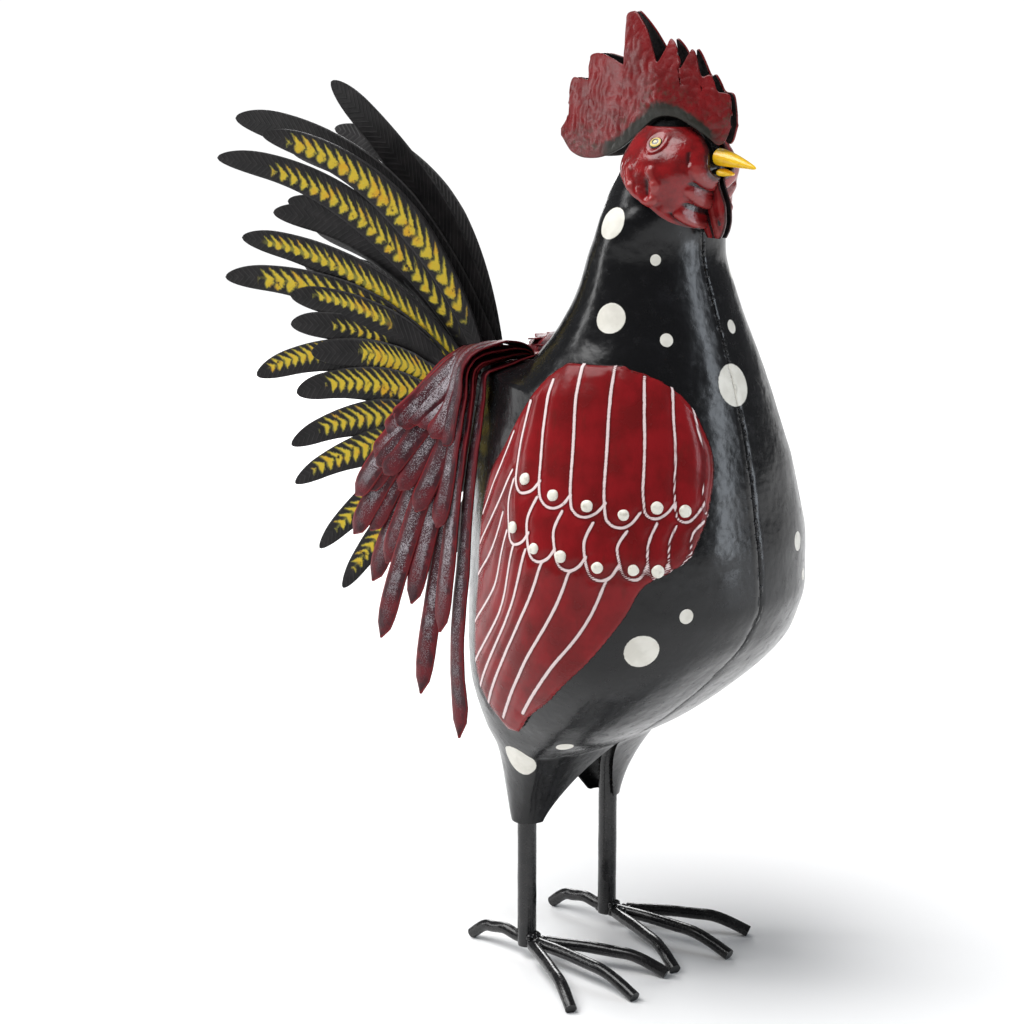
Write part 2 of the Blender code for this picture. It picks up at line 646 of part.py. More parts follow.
def add_saddle(side, label, material, parts):
    """The hanging feathers of one side, in three layers over the body's rear quarter."""
    count = len(SADDLE_TIPS)
    packed = SADDLE_FEATHER_WIDTH / (SADDLE_PACKED * KX)
    pitch = (SADDLE_PITCH * FEATHER_SHEET + CLEARANCE + FEATHER_CAMBER) * (1 + packed**2) / 2
    for i in range(count):
        a = i / (count - 1)
        lift = (2 * i % 3) * pitch

        def place(u, v, a=a, lift=lift):
            share = v**1.45
            here = saddle_line(a, share)
            run = (saddle_line(a, min(share + 0.01, 1.0)) - saddle_line(a, max(share - 0.01, 0.0)))
            beside = saddle_line(min(a + 0.08, 1.0), share) - saddle_line(max(a - 0.08, 0.0), share)
            outward = beside.cross(run).normalized()
            if outward.y + outward.z < 0:
                outward = -outward
            across = run.cross(outward).normalized()
            half = feather_half(share, SADDLE_FEATHER_WIDTH)
            crown = FEATHER_CAMBER * 0.6 * min(share / 0.3, 1.0) * (1 - (2 * u - 1) ** 2)
            spot = here + across * half * (2 * u - 1) + outward * (lift + crown)
            return Vector((spot.x + LEGS_FORWARD * KX, side * spot.y, spot.z))

        plate(f"saddle_{label}_{i + 1}", place, 2, SADDLE_STEPS, FEATHER_SHEET,
              Vector((0, side, 0.4)), material, parts)


def add_saddle_cap(material, parts):
    """The strip of sheet along the ridge of the back, between the roots of the saddle feathers."""
    half = SADDLE_ROOT_OUT * KY - 3 * CLEARANCE - FEATHER_SHEET

    def place(u, v):
        along = (SADDLE_ROOT_REAR + 4 + (SADDLE_ROOT_FRONT - SADDLE_ROOT_REAR - 4) * v) * KX
        out = half * (2 * u - 1)
        up = top_height(along, abs(out) + 0.001, CLEARANCE + SADDLE_LIFT)
        return Vector((along + LEGS_FORWARD * KX, out, up))

    plate("saddle_cap", place, 4, 6, SHEET, Vector((0, 0, 1)), material, parts)


def main():
    clear_scene()
    parts = bpy.data.collections.new("rooster")
    bpy.context.scene.collection.children.link(parts)
    black = paint("black_gloss_paint", (0.012, 0.012, 0.014), 0.22)
    red = paint("red_gloss_paint", (0.22, 0.012, 0.014), 0.30)
    yellow = paint("yellow_paint", (0.85, 0.50, 0.02), 0.35)
    steel = paint("black_rod_paint", (0.015, 0.015, 0.016), 0.35)
    plume = paint("black_feather_paint", (0.016, 0.015, 0.018), 0.42)
    rust = paint("dark_red_feather_paint", (0.13, 0.02, 0.022), 0.5)
    for side, label in ((RIGHT, "right"), (LEFT, "left")):
        add_body(side, label, black, parts)
        add_wing(side, label, red, parts)
        add_face(side, label, red, parts)
        add_comb(side, label, red, parts)
        add_leg(side, label, steel, parts)
        add_foot(side, label, steel, parts)
        add_tail_fan(side, label, plume, parts)
        add_saddle(side, label, rust, parts)
    add_beak(yellow, parts)
    add_sickles(plume, parts)
    add_saddle_cap(red, parts)


main()
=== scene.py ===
# A painted sheet metal rooster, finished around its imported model.
# Places are in millimetres from the legs: along towards the beak, out from the middle, and up.
import math
import random

import bmesh
import bpy
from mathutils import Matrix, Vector, kdtree, noise


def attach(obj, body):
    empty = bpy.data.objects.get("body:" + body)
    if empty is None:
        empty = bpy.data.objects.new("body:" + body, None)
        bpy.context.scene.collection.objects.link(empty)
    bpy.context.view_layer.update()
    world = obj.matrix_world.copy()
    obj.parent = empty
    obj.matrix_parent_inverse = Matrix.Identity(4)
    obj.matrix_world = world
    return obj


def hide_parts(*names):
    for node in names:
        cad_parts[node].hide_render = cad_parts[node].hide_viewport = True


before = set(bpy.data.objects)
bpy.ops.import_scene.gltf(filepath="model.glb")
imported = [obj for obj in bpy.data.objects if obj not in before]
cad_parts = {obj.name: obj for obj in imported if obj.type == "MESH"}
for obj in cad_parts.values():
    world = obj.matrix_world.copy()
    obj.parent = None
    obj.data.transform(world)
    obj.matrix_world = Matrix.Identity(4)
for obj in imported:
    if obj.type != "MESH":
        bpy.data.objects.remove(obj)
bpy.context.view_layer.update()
mm = 0.001
legsForward = 62.5  # from the middle of the model to the legs
sides = (("Right", "right", -1), ("Left", "left", 1))


# Helpers for places and meshes
def at(along, out, up):
    return Vector(((along + legsForward) * mm, out * mm, up * mm))


def smoothStep(t):
    t = min(max(t, 0.0), 1.0)
    return t * t * (3 - 2 * t)


def readTable(rows, place, column):
    # smooth reading of one column of a table, by its first column
    if place <= rows[0][0]:
        return rows[0][column]
    if place >= rows[-1][0]:
        return rows[-1][column]
    i = 0
    while rows[i + 1][0] < place:
        i += 1

    def slope(k):
        if k <= 0 or k >= len(rows) - 1:
            return None
        before = (rows[k][column] - rows[k - 1][column]) / (rows[k][0] - rows[k - 1][0])
        after = (rows[k + 1][column] - rows[k][column]) / (rows[k + 1][0] - rows[k][0])
        return 0.0 if before * after <= 0 else 2 * before * after / (before + after)

    span = rows[i + 1][0] - rows[i][0]
    rise = rows[i + 1][column] - rows[i][column]
    start = slope(i)
    end = slope(i + 1)
    start = rise / span if start is None else start
    end = rise / span if end is None else end
    t = (place - rows[i][0]) / span
    return (rows[i][column] + rise * t * t * (3 - 2 * t)
            + t * (1 - t) * span * (start * (1 - t) - end * t))


def throughPoints(points, share):
    # a smooth line through points, read at a share of its length in points
    place = min(max(share, 0.0), 1.0) * (len(points) - 1)
    i = min(int(place), len(points) - 2)
    t = place - i
    a = points[max(i - 1, 0)]
    b = points[i]
    c = points[i + 1]
    d = points[min(i + 2, len(points) - 1)]
    return [0.5 * (2 * q + (r - p) * t + (2 * p - 5 * q + 4 * r - s) * t * t
                   + (3 * q - p - 3 * r + s) * t ** 3)
            for p, q, r, s in zip(a, b, c, d)]


def lumpy(place, size, seed=0.0):
    # soft noise from -1 to 1 whose lumps are about size millimetres across
    return noise.noise(Vector(place) / (size * mm) + Vector((seed, seed * 1.7, -seed)))


def finishPiece(piece, nodes=(), materials=(), smoothAngle=None):
    for material in materials:
        piece.data.materials.append(material)
    piece.data.shade_smooth()
    if smoothAngle:
        piece.data.set_sharp_from_angle(angle=math.radians(smoothAngle))
    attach(piece, "root")
    if nodes:
        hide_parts(*nodes)


def pieceFromShape(shape, name):
    mesh = bpy.data.meshes.new(name)
    shape.to_mesh(mesh)
    shape.free()
    piece = bpy.data.objects.new(name, mesh)
    bpy.context.scene.collection.objects.link(piece)
    return piece


def bentGrid(name, across, along, place, facing=None, closed=False, tags=None):
    # a grid bent by place(u, v); tags(u, v) gives numbers that the paint reads as attributes
    shape = bmesh.new()
    bmesh.ops.create_grid(shape, x_segments=across, y_segments=along, size=0.5)
    shape.verts.ensure_lookup_table()
    shares = {corner.index: (corner.co.x + 0.5, corner.co.y + 0.5) for corner in shape.verts}
    layers = {}
    if tags:
        for key in tags(0.5, 0.5):
            layers[key] = shape.verts.layers.float.new(key)
    for corner in shape.verts:
        u, v = shares[corner.index]
        corner.co = place(u, v)
        if tags:
            for key, number in tags(u, v).items():
                corner[layers[key]] = number
    if closed:
        bmesh.ops.remove_doubles(shape, verts=shape.verts, dist=0.000002)
        rims = [edge for edge in shape.edges if edge.is_boundary]
        bmesh.ops.holes_fill(shape, edges=rims, sides=0)
    bmesh.ops.recalc_face_normals(shape, faces=shape.faces)
    if facing is not None:
        total = sum((face.normal * face.calc_area() for face in shape.faces), Vector())
        if total.dot(facing) < 0:
            bmesh.ops.reverse_faces(shape, faces=shape.faces)
    return pieceFromShape(shape, name)


def bentSheet(name, counts, place, facing, thickness, nodes, materials, tags=None):
    # a bent grid with a wall outside it; a second material is for the inner face
    piece = bentGrid(name, *counts, place, facing, tags=tags)
    wall = piece.modifiers.new("wall", "SOLIDIFY")
    wall.thickness = thickness * mm
    wall.offset = 1.0
    wall.material_offset = len(materials) - 1
    finishPiece(piece, nodes, materials)


# Paint: an expression on wires adds its Math nodes
class Wire:
    def __init__(self, paint, socket):
        self.paint = paint
        self.socket = socket

    def math(self, operation, *others):
        return self.paint.node("ShaderNodeMath", {"operation": operation}, self, *others)

    def __add__(self, other):
        return self.math("ADD", other)

    def __sub__(self, other):
        return self.math("SUBTRACT", other)

    def __mul__(self, other):
        return self.math("MULTIPLY", other)

    def __truediv__(self, other):
        return self.math("DIVIDE", other)

    def __rsub__(self, other):
        return self.paint.node("ShaderNodeMath", {"operation": "SUBTRACT"}, other, self)

    __radd__ = __add__
    __rmul__ = __mul__

    def least(self, other):
        return self.math("MINIMUM", other)

    def most(self, other):
        return self.math("MAXIMUM", other)

    def fromTo(self, low, high):
        # 0 below low, 1 above high, smooth between; the other way round if low is over high
        settings = {"interpolation_type": "SMOOTHSTEP"}
        if low < high:
            return self.paint.node("ShaderNodeMapRange", settings, self, low, high, 0.0, 1.0)
        return 1 - self.paint.node("ShaderNodeMapRange", settings, self, high, low, 0.0, 1.0)


class Paint:
    def __init__(self, name, **constants):
        self.material = bpy.data.materials.new(name)
        self.material.use_nodes = True
        self.tree = self.material.node_tree
        self.shader = self.tree.nodes["Principled BSDF"]
        for socket, number in constants.items():
            self.shader.inputs[socket.replace("_", " ")].default_value = number

    def join(self, socket, value):
        if isinstance(value, Wire):
            self.tree.links.new(value.socket, socket)
        elif socket.type == "RGBA":
            socket.default_value = (*value, 1.0)
        else:
            socket.default_value = value

    def node(self, kind, settings, *values, out=0, **named):
        made = self.tree.nodes.new(kind)
        for key, setting in settings.items():
            setattr(made, key, setting)
        for socket, value in zip(made.inputs, values):
            self.join(socket, value)
        for key, value in named.items():
            self.join(made.inputs[key.replace("_", " ")], value)
        return Wire(self, made.outputs[out])

    def place(self):
        return self.node("ShaderNodeTexCoord", {}, out=3)

    def tag(self, name):
        return self.node("ShaderNodeAttribute", {"attribute_name": name}, out=2)

    def lumps(self, size, detail=3.0, rough=0.55, where=None, stretch=None):
        # noise whose lumps are about size millimetres across
        spot = where or self.place()
        if stretch:
            spot = self.node("ShaderNodeMapping", {}, spot, Scale=stretch)
        return self.node("ShaderNodeTexNoise", {}, Vector=spot, Scale=1 / (size * mm), Detail=detail,
                         Roughness=rough)

    def mix(self, share, a, b):
        # a Mix node's colours come after its numbers and vectors
        made = self.tree.nodes.new("ShaderNodeMix")
        made.data_type = "RGBA"
        for place, value in ((0, share), (6, a), (7, b)):
            self.join(made.inputs[place], value)
        return Wire(self, made.outputs[2])

    def spot(self, center, radius, where):
        # distance from a center as a share of a radius, both in metres
        gap = self.node("ShaderNodeVectorMath", {"operation": "DISTANCE"}, where, tuple(center), out=1)
        return gap / radius

    def feed(self, height=None, heightScale=1.0, **wires):
        for socket, wire in wires.items():
            self.tree.links.new(wire.socket, self.shader.inputs[socket.replace("_", " ")])
        if height is not None:
            bump = self.node("ShaderNodeBump", {}, Strength=1.0, Distance=heightScale * mm, Height=height)
            self.tree.links.new(bump.socket, self.shader.inputs["Normal"])
        return self.material


# Body: two pressed halves with a welded seam
bodySettings = {
    "counts": (110, 300),
    "seamGap": 0.15, "seamDepth": 0.5, "seamReach": 0.9,
    "dents": 0.45, "dentSize": 26.0,  # how deep and how wide the hammered hollows are
    "smallDents": 0.12, "smallDentSize": 9.0, "dentSink": 0.3,
    "thighTip": 76.0, "thighWall": 1.5, "thighBack": 3.0,
    "thighRoom": 1.13,  # as a share of the sleeve that just takes the leg
    "thighSwell": (1.2, 1.8, 1.9, 0.9),  # powers for the inner and outer side, front and back
    "legOut": 32.0, "legRadius": 5.0, "legGap": 0.3,
    "weldHalf": (1.0, 2.4),  # where the weld up the breast is full, and where it ends
}
bodyStations = (  # up, front, back, widest, half width, and the powers that round back and front
    (118, 34, -30, 12, 51, 2.1, 2.3), (130, 54, -35, 21, 59, 2.2, 2.6),
    (149, 78.5, -40, 35, 70.5, 2.2, 2.8), (170, 101, -46, 50, 80, 2.0, 2.7),
    (190, 118, -53, 57, 86, 1.7, 2.2), (210, 126.5, -58, 56, 88, 1.5, 2.05),
    (232, 125, -61, 52, 88, 1.4, 2.15), (250, 122.2, -62, 48, 85.5, 1.35, 2.2),
    (270, 119, -63, 44, 81.5, 1.3, 2.2), (285, 115.7, -62, 43, 77, 1.3, 2.15),
    (300, 112, -60, 42, 73, 1.3, 2.1), (309, 109.3, -56, 42, 71, 1.35, 2.05),
    (313, 108.2, -48, 42.5, 70, 1.45, 2.0), (316, 107.2, -20, 43.5, 68.5, 1.6, 2.0),
    (320, 106, -6, 45, 66, 1.75, 2.0), (328, 103.3, 3, 49, 60.5, 1.9, 2.0), (340, 99, 13, 54, 52.5, 2.0, 2.0),
    (357, 93, 21, 57.5, 45, 2.0, 2.0), (375, 87.3, 26.5, 58.5, 39.5, 2.0, 2.0),
    (385, 86.3, 31, 60, 38.5, 2.0, 2.0), (395, 87.5, 33.5, 62.5, 36, 2.0, 2.0),
    (405, 90.5, 35, 65, 30.5, 2.0, 2.0), (420, 96, 42, 70, 27, 2.0, 2.0), (432, 91, 49, 70, 20, 2.0, 2.0),
    (439, 80, 55, 68, 13, 2.0, 2.0), (443, 74, 60, 67, 7, 2.0, 2.0),
)
sectionStore = {}


def bodySection(up):
    key = round(up, 2)
    if key not in sectionStore:
        sectionStore[key] = tuple(readTable(bodyStations, up, k) for k in range(1, 7))
    return sectionStore[key]


def halfWidth(along, up, grow=0.0):
    front, back, widest, half, rearPower, forePower = bodySection(up)
    if along >= widest:
        share = (along - widest) / (front - widest + grow)
        power = forePower
    else:
        share = (widest - along) / (widest - back + grow)
        power = rearPower
    return 0.0 if share >= 1 else (half + grow) * (1 - share ** power) ** (1 / power)


def arcPoint(up, turn):
    # the outer side of a body half, from the seam at the back (0) to the seam in front (pi)
    front, back, widest, half, rearPower, forePower = bodySection(up)
    cos = math.cos(turn)
    reach = widest - back if cos > 0 else front - widest
    power = rearPower if cos > 0 else forePower
    along = widest - math.copysign(abs(cos) ** (2 / power), cos) * reach
    gap = bodySettings["seamGap"]
    return along, gap + (half - gap) * max(math.sin(turn), 0.0) ** (2 / power)


def thighPoint(up, turn, inset):
    # a sleeve around the leg that swells into the lowest section of the body
    tip = bodySettings["thighTip"]
    belly = bodyStations[0][0]
    share = (up - tip) / (belly - tip)
    front, back, widest, half, rearPower, forePower = bodySection(belly)
    inner, outer, ahead, behind = bodySettings["thighSwell"]
    leg = bodySettings["legOut"]
    snug = bodySettings["legRadius"] + bodySettings["legGap"] + bodySettings["thighWall"]
    roomy = bodySettings["thighRoom"] * snug
    near = leg - 0.8 * bodySettings["legRadius"]
    near += (bodySettings["seamGap"] - near) * share ** inner
    far = leg + snug
    far += (half - far) * share ** outer
    fore = roomy + (front - widest - roomy) * share ** ahead
    aft = roomy + bodySettings["thighBack"] * (1 - share) + (widest - back - roomy) * share ** behind
    cos = math.cos(turn)
    power = rearPower if cos > 0 else 2 + (forePower - 2) * share
    reach = (aft if cos > 0 else fore) - inset
    along = widest * share - math.copysign(abs(cos) ** (2 / power), cos) * reach
    return along, near + (far - near - inset) * max(math.sin(turn), 0.0) ** (2 / power)


def bodyPlace(side):
    tip = bodySettings["thighTip"]
    belly = bodyStations[0][0]
    top = bodyStations[-1][0]
    outerShare = 0.72  # of the columns, the rest run home along the seam

    def place(u, v):
        up = tip + (top - tip) * v
        outer = u <= outerShare
        turn = math.pi * (u / outerShare if outer else (1 - u) / (1 - outerShare))
        if up < belly:
            along, out = thighPoint(up, turn, 0.0 if outer else bodySettings["thighWall"])
        else:
            along, out = arcPoint(up, turn)
            if not outer:
                out = bodySettings["seamGap"]
            groove = math.exp(-(out / bodySettings["seamReach"]) ** 2)
            along += bodySettings["seamDepth"] * groove * math.cos(turn)
        spot = at(along, side * out, up)
        if outer:
            hollow = lumpy(spot, bodySettings["dentSize"], side) * bodySettings["dents"]
            hollow += lumpy(spot, bodySettings["smallDentSize"], side + 3) * bodySettings["smallDents"]
            away = Vector((along - bodySection(max(up, belly))[2], side * out, 0)).normalized()
            fade = min(1.0, (up - tip) / 12) * smoothStep(out / 5)  # none at the tip or along the seam
            spot += away * (hollow - bodySettings["dentSink"]) * mm * fade
        return spot

    return place


dots = {  # along, out, up and radius of each round spot of white paint
    "right": ((57.7, -36, 394.7, 8.4), (79.7, -27.3, 377.4, 2.9), (67.3, -46.4, 350.2, 7.6),
              (90.5, -31.3, 340.3, 3.4), (117.3, -45.6, 210.6, 3.8), (103.3, -62.3, 193.9, 8.8),
              (42.5, -49.8, 129.7, 4.6), (10.5, -49.5, 115.5, 9.6), (-33, -36, 132, 3.2)),
    "middle": ((97.5, 10.5, 343, 3.6), (107.2, 0, 316.4, 10.6), (-50, 2, 236, 8.0), (22, -3, 371, 6.5)),
    "left": ((118.6, 39.8, 233.4, 5.0), (60, 35, 389, 7.0), (82, 29, 366, 3.2), (60, 48, 344, 8.4),
             (106, 61, 190, 8.6), (116, 50, 214, 3.6), (36, 48, 128, 4.2), (2, 47, 111, 8.4),
             (99, 47, 165, 3.4)),
}


def paintBlackGloss():
    paint = Paint("blackGlossPaint", Roughness=0.22, Specular_IOR_Level=0.36)
    where = paint.place()
    wobble = paint.lumps(7, detail=2.0)
    edge = paint.lumps(1.2, detail=2.0)
    nearest = None
    for center in (spot for group in dots.values() for spot in group):
        away = paint.spot(at(*center[:3]), center[3] * mm, where)
        nearest = away if nearest is None else nearest.least(away)
    nearest = nearest + (edge - 0.5) * 0.06
    white = nearest.fromTo(1.02, 0.97)
    dust = paint.lumps(11, detail=6.0).fromTo(0.5, 0.75)
    black = paint.mix(dust, (0.0055, 0.0055, 0.0062), (0.010, 0.010, 0.0115))
    cream = paint.mix(wobble.fromTo(0.35, 0.7), (0.80, 0.78, 0.71), (0.70, 0.68, 0.61))
    color = paint.mix(white, black, cream)
    smear = paint.lumps(4, detail=5.0)
    rough = 0.20 + smear.fromTo(0.45, 0.8) * 0.14 + white * 0.2
    full, end = bodySettings["weldHalf"]
    seam = paint.node("ShaderNodeSeparateXYZ", {}, where, out=1).math("ABSOLUTE")
    weld = seam.fromTo(end * mm, full * mm) * paint.lumps(4.5, detail=3.0).fromTo(0.48, 0.66)
    height = paint.lumps(14, detail=2.0) * 0.75 + paint.lumps(3.0, detail=3.0) * 0.10
    height = height + white * 0.16 + weld * 0.8
    return paint.feed(height, 0.7, Base_Color=color, Roughness=rough)


blackGloss = paintBlackGloss()
for label, cadLabel, side in sides:
    piece = bentGrid(f"body{label}", *bodySettings["counts"], bodyPlace(side), closed=True)
    finishPiece(piece, [f"body_{cadLabel}"], [blackGloss], 50)
print("Body halves done")


# Wings: domed red plates, fluted between raised white lines
wingSettings = {
    "counts": (190, 255), "wall": 1.0,
    "lift": 2.6, "dome": 2.5,  # how far the rim and the middle stand off the flank
    "flute": 0.9, "fluteReach": 3.4,  # how far the sheet swells between the lines
    "lineHeight": 0.4, "lineHalf": 0.55, "ridgeHalf": 0.95, "lineSteps": 420, "edgeSteps": 200,
    "rimDip": 1.2, "rimReach": 2.2, "rimFade": 7.0,
    "beadRadius": 2.9, "beadHeight": 0.5,  # the height is a share of the radius
    "loopGap": 3.0,  # the least room between a loop and the front edge
    "firstReach": 13.0, "lastReach": 4.0,  # how far the end loops of a row reach out
    "leftBack": 6.0, "leftShare": 0.64,  # the left wing sits further back and is shorter
}
wingEdges = (  # up, rear edge, front edge
    (138, 20, 26), (143, 16.5, 32), (149, 12, 38), (155, 8, 46), (163, 4.5, 57.5), (170, 3.4, 65.4),
    (190, 2.6, 86), (213, 3, 101), (226, 3.8, 106), (231, 4.2, 110), (236, 4.6, 116), (242, 5, 118.5),
    (255, 6.6, 119), (270, 11.6, 118), (285, 22.2, 115.2), (300, 31.6, 110.2), (313, 40.8, 103.5),
    (322, 46.8, 95), (329, 55, 80),
)
wingLoops = {  # head of each line, foot of its loop (along, up), and the bead inside it
    "upper": ((41.8, 310, 48.4, 267.6, 48.7, 274.2), (51.3, 320.5, 66.7, 262.8, 66.1, 268.8),
              (63.4, 329, 82.2, 260, 82.7, 265.2), (77.7, 329, 97.3, 255.6, 97.1, 261.6),
              (89.1, 325.7, 107.4, 259.5, 106.8, 264.6), (98.6, 319.5, 115.3, 256.9, 114, 262.1),
              (105.3, 311.3, 119.3, 258.6, 118, 263.8), (110.1, 303, 121, 266, 0, 0)),
    "lower": ((41, 273, 47.8, 243, 46.1, 250.9), (57.5, 267, 63.7, 237.2, 60.6, 243),
              (72, 262, 79.2, 234.8, 75, 241), (86.5, 257.8, 92.9, 231, 91.2, 237.1),
              (99.5, 254.2, 104.5, 231.3, 103.7, 236), (108, 257.5, 111, 230.9, 110.7, 235),
              (113, 255.5, 115.2, 233.8, 115.6, 238), (118.5, 256.5, 119.5, 239, 0, 0)),
}
wingQuills = (  # the long lines below: start, middle and end
    (94.6, 230.7, 81.3, 200.5, 38.2, 153), (79.6, 234.4, 66.1, 203.5, 21.5, 146.5),
    (65.5, 237, 52.2, 206, 12, 152.5), (55.4, 241.8, 44.3, 209.3, 6, 158.5),
    (47.2, 242.4, 35.1, 207.1, 5, 173), (40.4, 248.3, 29, 218.3, 4.5, 193),
    (35, 256, 26, 236, 5, 217), (38.3, 276.8, 27.9, 257.8, 8, 234), (32, 294, 24, 274, 9, 249),
)


def edgesAt(side, up):
    rear = readTable(wingEdges, up, 1)
    fore = readTable(wingEdges, up, 2)
    if side < 0:
        return rear, fore
    rear -= wingSettings["leftBack"]
    return rear, rear + (fore - rear - wingSettings["leftBack"]) * wingSettings["leftShare"]


def loopsOf(side):
    # the loops that fit on this side's plate
    if side < 0:
        return [list(row) for row in wingLoops.values()]
    back = wingSettings["leftBack"]
    rows = []
    for row in wingLoops.values():
        moved = [(a - back, b, c - back, d, e - back if e else 0, f) for a, b, c, d, e, f in row]
        rows.append([loop for loop in moved if loop[2] < edgesAt(side, loop[3])[1] - wingSettings["loopGap"]])
    return rows


def wingLinePaths(side):
    # each loop runs down from its head, round its foot and up to the next one
    paths = []
    for row in loopsOf(side):
        for i, (headAlong, headUp, footAlong, footUp, *_) in enumerate(row):
            before = row[i - 1][2] if i else footAlong - wingSettings["firstReach"]
            after = row[i + 1][2] if i + 1 < len(row) else footAlong + wingSettings["lastReach"]
            left = (before + footAlong) / 2
            right = (after + footAlong) / 2
            shoulder = footUp + min(9, 4 + 0.4 * (after - before))
            bulge = (headAlong + left * 2) / 3 - 0.14 * (footAlong - before)
            paths.append(((headAlong, headUp), (bulge, (headUp + shoulder) / 2),
                          (left, shoulder), (left * 0.6 + footAlong * 0.4, footUp + 2),
                          (footAlong, footUp), (right * 0.62 + footAlong * 0.38, footUp + 2.2),
                          (right, footUp + 7)))
    back = wingSettings["leftBack"] if side > 0 else 0.0
    for startAlong, startUp, middleAlong, middleUp, endAlong, endUp in wingQuills:
        paths.append(((startAlong - back, startUp), (middleAlong - back, middleUp),
                      (endAlong - back, endUp)))
    return paths


def wingSurface(side, along, up, swell=0.0):
    rear, fore = edgesAt(side, up)
    u = min(max((along - rear) / (fore - rear), 0.0), 1.0)
    v = (up - wingEdges[0][0]) / (wingEdges[-1][0] - wingEdges[0][0])
    lift = wingSettings["lift"] + wingSettings["dome"] * 4 * u * (1 - u) * math.sin(math.pi * v)
    out = halfWidth(along, up, lift)
    if not swell:
        return at(along, side * out, up)
    steepest = 3
    slope = halfWidth(along - 0.5, up, lift) - halfWidth(along + 0.5, up, lift)
    slope = min(max(slope, -steepest), steepest)
    rise = halfWidth(along, up - 0.5, lift) - halfWidth(along, up + 0.5, lift)
    rise = min(max(rise, -steepest), steepest)
    outward = Vector((slope, side, rise)).normalized()
    return at(along, side * out, up) + outward * swell * mm


def treeOf(spots):
    tree = kdtree.KDTree(len(spots))
    for k, spot in enumerate(spots):
        tree.insert(spot, k)
    tree.balance()
    return tree


def wingLineTree(side):
    spots = []
    steps = wingSettings["lineSteps"]
    for path in wingLinePaths(side):
        for k in range(steps + 1):
            along, up = throughPoints(path, k / steps)
            up = min(max(up, wingEdges[0][0]), wingEdges[-1][0])
            spots.append(wingSurface(side, along, up))
    return treeOf(spots)


def wingEdgeTree(side):
    low = wingEdges[0][0]
    high = wingEdges[-1][0]
    footRear, footFore = edgesAt(side, low)
    topRear, topFore = edgesAt(side, high)
    spots = []
    for k in range(wingSettings["edgeSteps"]):
        share = k / (wingSettings["edgeSteps"] - 1)
        up = low + (high - low) * share
        rear, fore = edgesAt(side, up)
        spots += [wingSurface(side, rear, up), wingSurface(side, fore, up),
                  wingSurface(side, footRear + (footFore - footRear) * share, low),
                  wingSurface(side, topRear + (topFore - topRear) * share, high)]
    return treeOf(spots)


def paintWing():
    paint = Paint("wingRedPaint", Roughness=0.2, Specular_IOR_Level=0.18)
    line = paint.tag("line")
    rim = paint.tag("rim")
    rag = paint.lumps(3.2, detail=1.5)
    mottle = paint.lumps(16, detail=5.0)
    streak = paint.lumps(6, detail=4.0, stretch=(1, 1, 0.3))
    red = paint.mix(mottle.fromTo(0.35, 0.7), (0.235, 0.010, 0.013), (0.15, 0.008, 0.009))
    red = paint.mix(streak.fromTo(0.55, 0.8) * 0.6, red, (0.12, 0.014, 0.012))
    specks = paint.lumps(2.6, detail=6.0, rough=0.75).fromTo(0.66, 0.72) * mottle.fromTo(0.5, 0.62)
    red = paint.mix(specks, red, (0.02, 0.006, 0.006))
    # painted shade: darker towards the rim, where the edge bends in towards the flank
    red = paint.mix((rim + rag * 0.5).fromTo(1.3, 0.6), red, (0.015, 0.006, 0.007))
    shade = (line + rag * 0.5).fromTo(2.1, 1.1)  # painted shade beside each raised line
    red = paint.mix(shade * 0.5, red, (0.06, 0.006, 0.008))
    lineHalf = wingSettings["lineHalf"]
    white = (line + (rag - 0.5) * 0.3).fromTo(lineHalf + 0.16, lineHalf - 0.16)
    white = white * paint.lumps(6, detail=3.0).fromTo(0.18, 0.30)
    color = paint.mix(white, red, (0.80, 0.66, 0.66))
    rough = 0.2 + mottle.fromTo(0.4, 0.8) * 0.12 + white * 0.18
    height = paint.lumps(10, detail=3.0) * 0.4 + rag * 0.03
    return paint.feed(height, 0.8, Base_Color=color, Roughness=rough)


def paintBead():
    paint = Paint("creamBeadPaint", Roughness=0.35, Coat_Weight=0.3)
    worn = paint.lumps(2.2, detail=4.0)
    color = paint.mix(worn.fromTo(0.45, 0.75), (0.83, 0.81, 0.72), (0.60, 0.57, 0.49))
    return paint.feed(worn, 0.15, Base_Color=color)


def wingMaker(side):
    # gives the place and the tags of any point of the plate
    low = wingEdges[0][0]
    high = wingEdges[-1][0]
    lines = wingLineTree(side)
    edges = wingEdgeTree(side)

    def flat(u, v):
        up = low + (high - low) * v
        rear, fore = edgesAt(side, up)
        along = rear + (fore - rear) * u
        return along, up, wingSurface(side, along, up)

    def place(u, v):
        along, up, spot = flat(u, v)
        gap = lines.find(spot)[2] / mm
        rim = edges.find(spot)[2] / mm
        inner = smoothStep(rim / wingSettings["rimFade"])
        swell = wingSettings["flute"] * (1 - math.exp(-(gap / wingSettings["fluteReach"]) ** 2)) * inner
        swell += wingSettings["lineHeight"] * math.exp(-(gap / wingSettings["ridgeHalf"]) ** 2)
        swell += 0.3 * lumpy(spot, 17, side * 2) * inner
        swell -= wingSettings["rimDip"] * (1 - smoothStep(rim / wingSettings["rimReach"]))
        return wingSurface(side, along, up, swell)

    def tags(u, v):
        spot = flat(u, v)[2]
        return {"line": lines.find(spot)[2] / mm, "rim": edges.find(spot)[2] / mm}

    return place, tags


